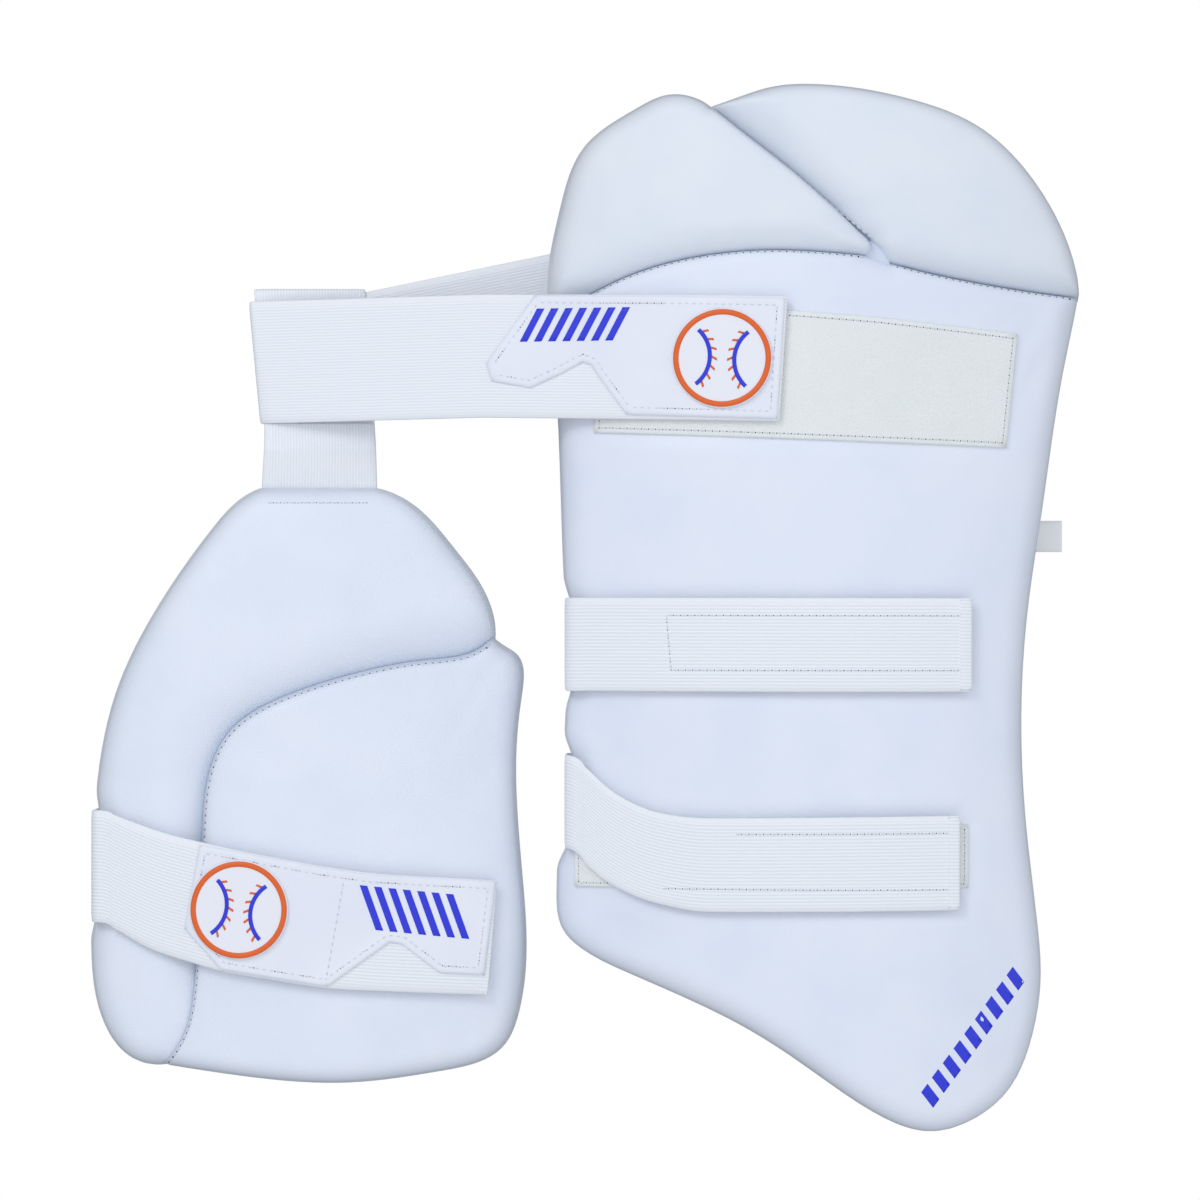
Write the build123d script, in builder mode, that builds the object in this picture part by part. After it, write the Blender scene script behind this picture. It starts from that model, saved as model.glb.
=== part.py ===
"""Combination thigh guard for a batter: an outer and an inner thigh pad on one waist belt.

The guard lies on its back on a flat surface: +X to the right, +Y towards the waist, +Z up through
the padding. Both pads are arched across their width, so each stands on its side edges with room
for the thigh beneath. Millimetres throughout.
"""

from build123d import *

import os
from math import acos, atan2, cos, radians, sin, sqrt, tan

os.makedirs("parts", exist_ok=True)

# Sheet goods
SKIN = 1.2              # PU leather cover
LINING = 1.5            # towelling-backed lining
SHEET = 2.5             # moulded shield sheet inside each pad
WEB = 1.8               # woven elastic
LOOP = 1.2              # loop pile panel
HOOK = 1.2              # hook tape
OVERLAY = 1.5           # leather appliqué on a strap end
BADGE = 1.5             # moulded round badge
GAP = 0.3               # free play between pieces that part from each other

# Widths of the thigh straps' webbing
STRAP_WIDTH = 38.0
INNER_STRAP_WIDTH = 46.0

# Outer pad: an arch whose axis runs along Y and dips a little towards the knee
OUTER_AXIS_X = 93.0
OUTER_RADIUS = 215.0    # underside of the lining
OUTER_CROWN = 32.3      # height of the lining's underside on the crown, at the hip seam
OUTER_SEAM_Y = 131.0
OUTER_DIP = 0.7         # degrees
OUTER_FOAM = 24.0       # padding and cover of the main panel, above the lining
HIP_FOAM = 26.0         # the hip bolsters are a little fuller

# Inner pad: a flatter arch, level along Y
INNER_AXIS_X = -118.9
INNER_RADIUS = 230.0
INNER_CROWN = 19.6
INNER_FOAM = 20.0

SHOULDER = 10.0         # rounding of the outer main panel's upper edges
OUTER_BEND = 8.0        # bend of a strap's middle over that rounding
INNER_BEND = 4.0        # bend of a strap's middle over the inner pad's square shoulder
UNDER_BEND = 1.5        # bend of a strap's middle under a pad's lower edge
SHIELD_CORNER = 14.0    # plan corners of the shield sheets
TALL = 120.0
LONG = 520.0

OUTER_PLANE = Plane(
    origin=(OUTER_AXIS_X, LONG / 2, OUTER_CROWN + (LONG / 2 - OUTER_SEAM_Y) * tan(radians(OUTER_DIP))),
    x_dir=(1, 0, 0),
    z_dir=(0, -cos(radians(OUTER_DIP)), -sin(radians(OUTER_DIP))),
)
INNER_PLANE = Plane(origin=(INNER_AXIS_X, LONG / 2, INNER_CROWN), x_dir=(1, 0, 0), z_dir=(0, -1, 0))

# Heights above the lining's underside, in the order the layers are stacked
OUTER_TOP = LINING + OUTER_FOAM
HIP_TOP = LINING + HIP_FOAM
INNER_TOP = LINING + INNER_FOAM


def stack(pad_top):
    """Heights of loop, hook, web, overlay and badge over a pad, as a list of (low, high)."""
    loop = (pad_top, pad_top + LOOP)
    hook = (loop[1] + GAP, loop[1] + GAP + HOOK)
    web = (hook[1], hook[1] + WEB)
    overlay = (web[1], web[1] + OVERLAY)
    badge = (overlay[1], overlay[1] + BADGE)
    return loop, hook, web, overlay, badge


OUTER_LOOP, OUTER_HOOK, OUTER_WEB, OUTER_OVERLAY, OUTER_BADGE = stack(OUTER_TOP)
INNER_LOOP, INNER_HOOK, INNER_WEB, INNER_OVERLAY, INNER_BADGE = stack(INNER_TOP)


# ---------------------------------------------------------------- plan outlines
def outline(*runs):
    """A closed plan outline. Each run is smooth and ends where the next one starts."""
    with BuildSketch() as plan:
        with BuildLine():
            for index, run in enumerate(runs):
                points = list(run) + [runs[(index + 1) % len(runs)][0]]
                if len(points) == 2:
                    Line(*points)
                else:
                    Spline(*points)
        make_face()
    return plan.sketch


def polygon(*points):
    """A closed plan outline with straight sides."""
    with BuildSketch() as plan:
        with BuildLine():
            Polyline(*points, close=True)
        make_face()
    return plan.sketch


def rounded_polygon(radius, *points):
    """A closed plan outline with straight sides and round corners."""
    with BuildSketch() as plan:
        add(polygon(*points))
        fillet(plan.vertices(), radius=radius)
    return plan.sketch


def inset(plan, distance):
    """The same outline, moved inwards, with each of its edges drawn again as a plain spline."""
    with BuildSketch() as moved:
        add(plan)
        offset(amount=-distance)
    with BuildSketch() as smaller:
        with BuildLine():
            for edge in moved.edges():
                steps = max(4, round(edge.length / 8.0))
                Spline(*[edge @ (step / steps) for step in range(steps + 1)])
        make_face()
    return smaller.sketch


SEAM_LEFT = (-13.3, 122.0)
SEAM_RIGHT = (206.3, 130.6)
GUSSET_LEFT = (116.3, 146.5)
GUSSET_RIGHT = (126.7, 143.3)
LEFT_TIP = (118.6, 150.0)
CREASE_LOW = (118.3, 153.2)
CREASE_HIGH = (52.0, 207.9)

seam_under_left = [SEAM_LEFT, (4.0, 132.2), (19.0, 139.0), (49.0, 146.6), (78.0, 148.8), (101.0, 147.8)]
seam_under_gusset = [GUSSET_LEFT]
seam_under_right = [GUSSET_RIGHT, (145.4, 138.9), (165.0, 135.4), (188.0, 132.3)]
crease = [CREASE_LOW, (104.0, 164.9), (88.8, 178.3), (70.8, 192.7)]
hip_left_edge = [(42.5, 212.7), (34.6, 213.1), (22.5, 208.1), (0.4, 192.3), (-9.2, 167.3), (-14.0, 142.0)]
hip_right_edge = [
    (52.9, 208.1), (77.5, 215.6), (96.3, 216.7), (136.3, 210.6), (162.9, 200.6), (189.2, 175.6),
]
hip_right_side = [(202.5, 150.6), (205.8, 138.0)]
main_right_edge = [SEAM_RIGHT, (205.0, 124.0), (200.0, 100.6), (190.8, 42.3), (184.6, 0.6), (182.1, -32.7)]
main_lobe = [(184.2, -91.0), (189.2, -132.7), (190.4, -153.5), (187.0, -176.0), (176.3, -199.4)]
main_foot = [
    (160.0, -211.5), (144.2, -215.2), (121.7, -207.7), (96.7, -191.0), (71.7, -174.4), (17.5, -149.4),
]
main_left_edge = [
    (0.4, -141.0), (-8.3, -132.7), (-10.8, -116.0), (-9.6, -82.7), (-6.7, -32.7), (-8.3, 25.6),
]
main_left_top = [(-10.0, 75.6)]

MAIN_PLAN = outline(
    seam_under_left,
    seam_under_gusset,
    seam_under_right,
    main_right_edge + main_lobe + main_foot + main_left_edge + main_left_top,
)
HIP_LEFT_PLAN = outline(
    seam_under_left,
    seam_under_gusset,
    [LEFT_TIP],
    crease,
    [CREASE_HIGH] + hip_left_edge,
)
HIP_RIGHT_PLAN = outline(
    seam_under_right,
    [SEAM_RIGHT] + hip_right_side[::-1] + hip_right_edge[::-1],
    [CREASE_HIGH] + crease[:0:-1],
    [CREASE_LOW, (123.0, 149.5)],
)
OUTER_PLAN = outline(
    [SEAM_LEFT] + hip_left_edge[::-1],
    [CREASE_HIGH],
    hip_right_edge + hip_right_side,
    main_right_edge + main_lobe + main_foot + main_left_edge + main_left_top,
)

INNER_NOTCH = (-38.3, -11.9)
INNER_TOE = (-174.6, -188.1)
INNER_TOP_LEFT = (-134.2, 50.5)
INNER_TOP_RIGHT = (-86.7, 50.5)

inner_crease = [
    INNER_NOTCH,
    (-47.0, -17.9),
    (-66.0, -21.0),
    (-88.0, -24.8),
    (-112.0, -31.5),
    (-131.7, -39.4),
    (-146.5, -50.0),
    (-154.5, -65.0),
    (-158.0, -92.0),
    (-161.0, -150.0),
    (-166.0, -176.0),
]
inner_right_shoulder = [INNER_TOP_RIGHT, (-70.0, 42.3), (-55.0, 25.6), (-43.5, 9.5), (-38.8, -3.0)]
inner_right_edge = [
    (-34.2, -15.2), (-29.2, -18.5), (-27.5, -36.9), (-29.4, -78.5), (-26.9, -112.0), (-27.9, -166.0),
]
inner_foot = [(-34.5, -181.5), (-60.4, -191.0), (-100.0, -195.2), (-140.0, -192.7)]
inner_toe = [(-192.9, -182.7), (-202.5, -166.0), (-205.8, -141.0), (-205.4, -107.7), (-202.5, -66.0)]
inner_left_edge = [(-194.6, -32.7), (-177.9, 0.6), (-154.2, 34.0), (-142.0, 46.5)]

INNER_MAIN_PLAN = outline(
    inner_crease,
    [INNER_TOE] + inner_foot[::-1] + inner_right_edge[::-1],
)
INNER_BOLSTER_PLAN = outline(
    inner_crease,
    [INNER_TOE] + inner_toe + inner_left_edge,
    [INNER_TOP_LEFT],
    inner_right_shoulder,
)
INNER_PLAN = outline(
    [INNER_TOE] + inner_toe + inner_left_edge,
    [INNER_TOP_LEFT],
    inner_right_shoulder,
    [INNER_NOTCH] + inner_right_edge + inner_foot,
)


# ---------------------------------------------------------------- arched layers
def arched(plan, plane, radius, low, high, edge_round=0.0):
    """The layer of an arch between two heights above the lining's underside, cut to a plan outline."""
    with BuildPart() as layer:
        with BuildSketch(Plane.XY.offset(-TALL / 2)):
            add(plan)
        extrude(amount=1.5 * TALL)
        with BuildSketch(plane):
            with Locations((0, -radius)):
                Circle(radius + high)
                Circle(radius + low, mode=Mode.SUBTRACT)
        extrude(amount=LONG, mode=Mode.INTERSECT)
        if edge_round:
            crown = layer.faces().sort_by(Axis.Z)[-1]
            fillet(crown.edges(), radius=edge_round)
    return layer.part


def outer(plan, low, high, edge_round=0.0):
    return arched(plan, OUTER_PLANE, OUTER_RADIUS, low, high, edge_round)


def inner(plan, low, high, edge_round=0.0):
    return arched(plan, INNER_PLANE, INNER_RADIUS, low, high, edge_round)


def outer_crown(y):
    """Height of the outer lining's underside on the crown line."""
    return OUTER_CROWN + (y - OUTER_SEAM_Y) * tan(radians(OUTER_DIP))


def save(part, name):
    part.label = name
    export_step(part, f"parts/{name}.step")


# ---------------------------------------------------------------- outer pad
main_body = outer(MAIN_PLAN, LINING, OUTER_TOP, SHOULDER)
main_core = outer(inset(MAIN_PLAN, SKIN), LINING, OUTER_TOP - SKIN, SHOULDER - SKIN)
MAIN_SHIELD_PLAN = rounded_polygon(
    SHIELD_CORNER,
    (10.0, 104.0), (60.0, 122.0), (182.0, 112.0), (164.0, 0.0),
    (168.0, -160.0), (142.0, -190.0), (14.0, -126.0),
)
main_shield = outer(MAIN_SHIELD_PLAN, LINING, LINING + SHEET)

with BuildPart() as outer_main_cover:
    add(main_body)
    add(main_core, mode=Mode.SUBTRACT)
save(outer_main_cover.part, "outer_main_cover")

with BuildPart() as outer_main_foam:
    add(main_core)
    add(main_shield, mode=Mode.SUBTRACT)
save(outer_main_foam.part, "outer_main_foam")

with BuildPart() as outer_shield_sheet:
    add(main_shield)
save(outer_shield_sheet.part, "outer_shield_sheet")

with BuildPart() as outer_lining:
    add(outer(OUTER_PLAN, 0, LINING))
save(outer_lining.part, "outer_lining")

for side, plan in (("left", HIP_LEFT_PLAN), ("right", HIP_RIGHT_PLAN)):
    bolster = outer(plan, LINING, HIP_TOP)
    core = outer(inset(plan, SKIN), LINING, HIP_TOP - SKIN)
    with BuildPart() as hip_cover:
        add(bolster)
        add(core, mode=Mode.SUBTRACT)
    save(hip_cover.part, f"hip_{side}_cover")
    with BuildPart() as hip_foam:
        add(core)
    save(hip_foam.part, f"hip_{side}_foam")

WAIST_PANEL_PLAN = polygon(
    (4.2, 74.1), (174.8, 67.7), (179.6, 114.8), (120.0, 121.0), (60.0, 125.5), (7.0, 127.5)
)
UPPER_LOOP_PLAN = polygon((-1.0, -28.0), (158.5, -28.0), (158.5, 1.0), (-1.0, 1.0))
LOWER_LOOP_PLAN = polygon((-3.8, -114.0), (158.8, -114.0), (158.8, -88.0), (-3.8, -88.0))

with BuildPart() as waist_loop_panel:
    add(outer(WAIST_PANEL_PLAN, *OUTER_LOOP))
save(waist_loop_panel.part, "waist_loop_panel")

with BuildPart() as upper_loop_strip:
    add(outer(UPPER_LOOP_PLAN, *OUTER_LOOP))
save(upper_loop_strip.part, "upper_loop_strip")

with BuildPart() as lower_loop_strip:
    add(outer(LOWER_LOOP_PLAN, *OUTER_LOOP))
save(lower_loop_strip.part, "lower_loop_strip")


# ---------------------------------------------------------------- strap back runs
def back_run(plane, radius, axis_x, web, bend, edge_x, shoulder_x, patch, top_y, width):
    """A strap behind a pad: from the shoulder round the left edge, and as a chord across the
    hollow back to the patch where it is sewn to the lining. The path is the web's middle."""
    middle = (web[0] + web[1]) / 2
    beside = edge_x - GAP - WEB / 2 - axis_x
    start_x = shoulder_x - GAP - axis_x
    start_y = sqrt((radius + middle) ** 2 - start_x**2) - radius
    slope = -start_x / (start_y + radius)
    corner_y = start_y - slope * (start_x - beside)
    under_y = sqrt(radius**2 - (edge_x - axis_x) ** 2) - radius - GAP - WEB / 2 - 0.2
    sewn = []
    for x in patch:
        local_x = x - axis_x
        sewn.append((local_x, sqrt(radius**2 - local_x**2) - radius - WEB / 2 - 0.15))
    with BuildPart() as run:
        with BuildSketch(plane.offset(plane.origin.Y - top_y)):
            with BuildLine():
                FilletPolyline(
                    (start_x, start_y),
                    (beside, corner_y),
                    (beside, under_y),
                    *sewn,
                    radius=[bend, UNDER_BEND, 8.0],
                )
            trace(line_width=WEB)
        extrude(amount=width)
    return run.part


UPPER_STRAP_TOP = 5.4
LOWER_STRAP_TOP = -60.0
INNER_STRAP_TOP = -83.0
OUTER_HINGE_X = 0.0
INNER_HINGE_X = -196.0

with BuildPart() as upper_strap_back:
    add(
        back_run(
            OUTER_PLANE, OUTER_RADIUS, OUTER_AXIS_X, OUTER_WEB, OUTER_BEND,
            -8.4, OUTER_HINGE_X, (158.0, 178.0), UPPER_STRAP_TOP, STRAP_WIDTH,
        )
    )
save(upper_strap_back.part, "upper_strap_back")

with BuildPart() as lower_strap_back:
    add(
        back_run(
            OUTER_PLANE, OUTER_RADIUS, OUTER_AXIS_X, OUTER_WEB, OUTER_BEND,
            -10.4, OUTER_HINGE_X, (158.0, 178.0), LOWER_STRAP_TOP, STRAP_WIDTH,
        )
    )
save(lower_strap_back.part, "lower_strap_back")

with BuildPart() as inner_strap_back:
    add(
        back_run(
            INNER_PLANE, INNER_RADIUS, INNER_AXIS_X, INNER_WEB, INNER_BEND,
            -205.9, INNER_HINGE_X, (-54.0, -34.0), INNER_STRAP_TOP, INNER_STRAP_WIDTH,
        )
    )
save(inner_strap_back.part, "inner_strap_back")

# ---------------------------------------------------------------- thigh straps, front runs
UPPER_STRAP_PLAN = polygon(
    (OUTER_HINGE_X + GAP, -32.4), (159.6, -32.7), (159.6, 5.2), (OUTER_HINGE_X + GAP, 5.4)
)
UPPER_HOOK_PLAN = polygon((40.0, -25.5), (157.0, -25.5), (157.0, -2.0), (40.0, -2.0))
LOWER_STRAP_PLAN = polygon(
    (OUTER_HINGE_X + GAP, -64.0),
    (10.0, -74.5),
    (27.5, -83.0),
    (45.0, -85.4),
    (154.6, -84.4),
    (154.6, -122.7),
    (45.0, -123.2),
    (22.0, -118.0),
    (OUTER_HINGE_X + GAP, -106.5),
)
LOWER_HOOK_PLAN = polygon((64.0, -117.0), (152.0, -117.0), (152.0, -91.0), (64.0, -91.0))

for name, plan, hook_plan in (
    ("upper", UPPER_STRAP_PLAN, UPPER_HOOK_PLAN),
    ("lower", LOWER_STRAP_PLAN, LOWER_HOOK_PLAN),
):
    with BuildPart() as strap_front:
        add(outer(plan, *OUTER_WEB))
    save(strap_front.part, f"{name}_strap_front")
    with BuildPart() as strap_hook:
        add(outer(hook_plan, *OUTER_HOOK))
    save(strap_hook.part, f"{name}_strap_hook")

# ---------------------------------------------------------------- waist belt
HANGER_WEB = 1.2
BACK_LOW = HANGER_WEB + 0.2
BACK_HIGH = BACK_LOW + WEB
FOLD_RADIUS = 2.85
FOLD_TOP = (-138.45, 130.2)
FOLD_FOOT = (-133.65, 79.5)
FOLD_CENTRE_Z = BACK_LOW + FOLD_RADIUS
fold_run = Vector(FOLD_FOOT[0] - FOLD_TOP[0], FOLD_FOOT[1] - FOLD_TOP[1], 0)

BACK_RUN_PLAN = polygon(
    FOLD_TOP,
    (-95.4, 133.5),
    (-9.0, 151.4),
    (-2.0, 100.2),
    (-91.0, 82.6),
    FOLD_FOOT,
)
BACK_TAIL_PLAN = polygon((-13.2, 150.6), (40.0, 161.6), (48.0, 110.6), (-6.0, 99.4))

with BuildPart() as waist_belt_back:
    with BuildSketch(Plane.XY.offset(BACK_LOW)):
        add(BACK_RUN_PLAN)
    extrude(amount=WEB)
    with BuildSketch(
        Plane(origin=(*FOLD_TOP, FOLD_CENTRE_Z), x_dir=(fold_run.Y, -fold_run.X, 0), z_dir=fold_run)
    ):
        Circle(FOLD_RADIUS)
        Circle(FOLD_RADIUS - WEB, mode=Mode.SUBTRACT)
        with Locations((-FOLD_RADIUS, 0)):
            Rectangle(2 * FOLD_RADIUS, 4 * FOLD_RADIUS, mode=Mode.SUBTRACT)
    extrude(amount=fold_run.length)
    add(outer(BACK_TAIL_PLAN, -WEB, 0))
save(waist_belt_back.part, "waist_belt_back")

# The front run climbs from the fold in a straight line and touches down on the pad's crown.
FRONT_START_X = (FOLD_TOP[0] + FOLD_FOOT[0]) / 2
FRONT_START_Z = FOLD_CENTRE_Z + FOLD_RADIUS - WEB / 2 + 0.2
BELT_MIDDLE_Y = 105.0
web_radius = OUTER_RADIUS + (OUTER_WEB[0] + OUTER_WEB[1]) / 2
from_axis = Vector(
    FRONT_START_X - OUTER_AXIS_X,
    FRONT_START_Z - outer_crown(BELT_MIDDLE_Y) + OUTER_RADIUS,
)
touch_angle = atan2(from_axis.Y, from_axis.X) - acos(web_radius / from_axis.length)


def over_pad(plan, low, high):
    """A layer of the belt's front run: straight up from the fold, then along the pad's arch."""
    reach = 260.0
    right = radians(55.0)
    along = Vector(-sin(touch_angle), cos(touch_angle))
    out = Vector(cos(touch_angle), sin(touch_angle))
    centre = Vector(0, -OUTER_RADIUS)
    small = OUTER_RADIUS + low
    large = OUTER_RADIUS + high
    end = Vector(cos(right), sin(right))
    middle = Vector(cos((right + touch_angle) / 2), sin((right + touch_angle) / 2))
    with BuildPart() as layer:
        with BuildSketch(OUTER_PLANE):
            with BuildLine():
                Line(centre + out * small + along * reach, centre + out * small)
                ThreePointArc(centre + out * small, centre + middle * small, centre + end * small)
                Line(centre + end * small, centre + end * large)
                ThreePointArc(centre + end * large, centre + middle * large, centre + out * large)
                Line(centre + out * large, centre + out * large + along * reach)
                Line(centre + out * large + along * reach, centre + out * small + along * reach)
            make_face()
        extrude(amount=LONG)
        with BuildSketch(Plane.XY.offset(-TALL)):
            add(plan)
        extrude(amount=3 * TALL, mode=Mode.INTERSECT)
    return layer.part


TAB_HINGE_X = -42.0
TAB_END_TOP = (83.3, 129.0)
TAB_END_FOOT = (80.0, 78.5)
BELT_FRONT_PLAN = polygon(
    (FOLD_TOP[0] + GAP, FOLD_TOP[1]),
    (TAB_HINGE_X, 131.5),
    (TAB_HINGE_X, 81.0),
    (FOLD_FOOT[0] + GAP, FOLD_FOOT[1]),
)
TAB_PLAN = polygon(
    (TAB_HINGE_X + GAP, 131.5),
    TAB_END_TOP,
    TAB_END_FOOT,
    (TAB_HINGE_X + GAP, 81.0),
)
TAB_OVERLAY_PLAN = polygon(
    (-20.4, 131.0),
    (82.5, 128.6),
    (79.4, 79.0),
    (17.5, 81.2),
    (7.5, 94.8),
    (2.9, 101.9),
    (-0.4, 103.1),
    (-9.2, 98.5),
    (-22.1, 92.7),
    (-38.3, 95.6),
    (-40.8, 103.1),
)
TAB_HOOK_PLAN = polygon((12.0, 85.0), (76.0, 83.0), (79.0, 124.5), (12.0, 126.5))

with BuildPart() as waist_belt_front:
    add(over_pad(BELT_FRONT_PLAN, *OUTER_WEB))
save(waist_belt_front.part, "waist_belt_front")

with BuildPart() as waist_tab_web:
    add(over_pad(TAB_PLAN, *OUTER_WEB))
save(waist_tab_web.part, "waist_tab_web")

with BuildPart() as waist_tab_overlay:
    add(over_pad(TAB_OVERLAY_PLAN, *OUTER_OVERLAY))
save(waist_tab_overlay.part, "waist_tab_overlay")

with BuildPart() as waist_tab_hook:
    add(over_pad(TAB_HOOK_PLAN, *OUTER_HOOK))
save(waist_tab_hook.part, "waist_tab_hook")

BADGE_RADIUS = 20.5
with BuildSketch() as waist_badge_plan:
    with Locations((56.7, 104.0)):
        Circle(BADGE_RADIUS)

with BuildPart() as waist_badge:
    add(over_pad(waist_badge_plan.sketch, *OUTER_BADGE))
save(waist_badge.part, "waist_badge")

# ---------------------------------------------------------------- hanger
TUNNEL_HIGH_Y = 134.8
TUNNEL_LOW_Y = 70.5
TUNNEL_TOP = BACK_HIGH + GAP + HANGER_WEB
HINGE_Y = 52.0
HINGE_Z = 17.9
RISER = 2.0             # the hanger's two layers, sewn together
END_GAP = 1.3           # from the hinge line to each end of the web
HANGER_PLAN = polygon(
    (-139.0, TUNNEL_HIGH_Y + 4),
    (-134.2, 79.5),
    (-134.6, 40.0),
    (-86.1, 40.0),
    (-92.8, TUNNEL_HIGH_Y + 4),
)
climb = Vector(HINGE_Y - (TUNNEL_LOW_Y + 1.0), HINGE_Z - RISER / 2).normalized()
riser_side = Vector(-climb.Y, climb.X) * (RISER / 2)
riser_start = Vector(TUNNEL_LOW_Y + 1.0, RISER / 2)
riser_end = Vector(HINGE_Y, HINGE_Z) - climb * END_GAP

with BuildPart() as hanger_strap:
    with BuildSketch(Plane.YZ.offset(-150.0)):
        with Locations(((TUNNEL_LOW_Y + TUNNEL_HIGH_Y) / 2, TUNNEL_TOP / 2)):
            RectangleRounded(TUNNEL_HIGH_Y - TUNNEL_LOW_Y + 2 * HANGER_WEB, TUNNEL_TOP, 1.8)
            RectangleRounded(
                TUNNEL_HIGH_Y - TUNNEL_LOW_Y, TUNNEL_TOP - 2 * HANGER_WEB, 0.9, mode=Mode.SUBTRACT
            )
    extrude(amount=80.0)
    with BuildSketch(Plane.YZ.offset(-150.0)):
        with BuildLine():
            Polyline(
                riser_start + riser_side,
                riser_end + riser_side,
                riser_end - riser_side,
                riser_start - riser_side,
                close=True,
            )
        make_face()
    extrude(amount=80.0)
    with BuildSketch(Plane.XY.offset(-TALL)):
        add(HANGER_PLAN)
    extrude(amount=2 * TALL, mode=Mode.INTERSECT)
save(hanger_strap.part, "hanger_strap")

# ---------------------------------------------------------------- inner pad
inner_main_body = inner(INNER_MAIN_PLAN, LINING, INNER_TOP)
inner_main_core = inner(inset(INNER_MAIN_PLAN, SKIN), LINING, INNER_TOP - SKIN)
bolster_body = inner(INNER_BOLSTER_PLAN, LINING, INNER_TOP)
bolster_core = inner(inset(INNER_BOLSTER_PLAN, SKIN), LINING, INNER_TOP - SKIN)
INNER_SHIELD_PLAN = rounded_polygon(
    SHIELD_CORNER, (-50.0, -42.0), (-108.0, -52.0), (-138.0, -76.0), (-144.0, -172.0), (-50.0, -168.0)
)
inner_shield = inner(INNER_SHIELD_PLAN, LINING, LINING + SHEET)

with BuildPart() as inner_main_cover:
    add(inner_main_body)
    add(inner_main_core, mode=Mode.SUBTRACT)
save(inner_main_cover.part, "inner_main_cover")

with BuildPart() as inner_main_foam:
    add(inner_main_core)
    add(inner_shield, mode=Mode.SUBTRACT)
save(inner_main_foam.part, "inner_main_foam")

with BuildPart() as inner_shield_sheet:
    add(inner_shield)
save(inner_shield_sheet.part, "inner_shield_sheet")

with BuildPart() as inner_bolster_cover:
    add(bolster_body)
    add(bolster_core, mode=Mode.SUBTRACT)
save(inner_bolster_cover.part, "inner_bolster_cover")

with BuildPart() as inner_bolster_foam:
    add(bolster_core)
save(inner_bolster_foam.part, "inner_bolster_foam")

with BuildPart() as inner_lining:
    add(inner(INNER_PLAN, 0, LINING))
save(inner_lining.part, "inner_lining")

HANGER_TAIL_PLAN = polygon(
    (-134.4, 24.0), (-87.0, 24.0), (-87.0, HINGE_Y - END_GAP), (-134.4, HINGE_Y - END_GAP)
)
with BuildPart() as hanger_sewn_end:
    add(inner(HANGER_TAIL_PLAN, -RISER, 0))
save(hanger_sewn_end.part, "hanger_sewn_end")

INNER_LOOP_PLAN = polygon(
    (-142.0, -107.5), (-42.0, -118.5), (-42.0, -153.0), (-106.0, -149.0), (-142.0, -143.5)
)
with BuildPart() as inner_loop_strip:
    add(inner(INNER_LOOP_PLAN, *INNER_LOOP))
save(inner_loop_strip.part, "inner_loop_strip")

# ---------------------------------------------------------------- inner strap, front run
inner_strap_upper_edge = [
    (INNER_HINGE_X + GAP, -84.8), (-173.0, -92.6), (-143.0, -99.2),
    (-108.5, -105.6), (-87.8, -108.7), (-36.5, -112.2),
]
inner_strap_lower_edge = [(-40.4, -159.0), (-106.0, -155.5), (-150.0, -148.5), (-179.6, -140.0)]
INNER_STRAP_PLAN = polygon(*inner_strap_upper_edge, *inner_strap_lower_edge, (INNER_HINGE_X + GAP, -131.0))
INNER_OVERLAY_PLAN = polygon(
    (-159.0, -96.4),
    *inner_strap_upper_edge[2:],
    (-41.3, -151.1),
    (-59.7, -149.7),
    (-75.5, -137.5),
    (-80.4, -136.8),
    (-106.0, -155.0),
    (-150.0, -148.0),
    (-165.4, -131.3),
)
INNER_HOOK_PLAN = polygon(
    (-130.0, -106.5), (-45.0, -116.5), (-47.0, -154.0), (-106.0, -150.0), (-130.0, -147.0)
)

with BuildPart() as inner_strap_front:
    add(inner(INNER_STRAP_PLAN, *INNER_WEB))
save(inner_strap_front.part, "inner_strap_front")

with BuildPart() as inner_strap_overlay:
    add(inner(INNER_OVERLAY_PLAN, *INNER_OVERLAY))
save(inner_strap_overlay.part, "inner_strap_overlay")

with BuildPart() as inner_strap_hook:
    add(inner(INNER_HOOK_PLAN, *INNER_HOOK))
save(inner_strap_hook.part, "inner_strap_hook")

with BuildSketch() as inner_badge_plan:
    with Locations((-142.5, -123.1)):
        Circle(BADGE_RADIUS)

with BuildPart() as inner_badge:
    add(inner(inner_badge_plan.sketch, *INNER_BADGE))
save(inner_badge.part, "inner_badge")

# ---------------------------------------------------------------- care label
LABEL = 0.6
LABEL_X = (190.5, 200.9)
LABEL_Y = (25.0, 38.0)
LABEL_Z = 10.2
with BuildPart() as care_label:
    with BuildSketch(Plane.XY.offset(LABEL_Z)):
        with Locations(((LABEL_X[0] + LABEL_X[1]) / 2, (LABEL_Y[0] + LABEL_Y[1]) / 2)):
            Rectangle(LABEL_X[1] - LABEL_X[0], LABEL_Y[1] - LABEL_Y[0])
    extrude(amount=LABEL)
save(care_label.part, "care_label")
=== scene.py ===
import math

import bmesh
import bpy
import numpy as np
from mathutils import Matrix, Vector, geometry
from mathutils.bvhtree import BVHTree
from mathutils.kdtree import KDTree


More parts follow.
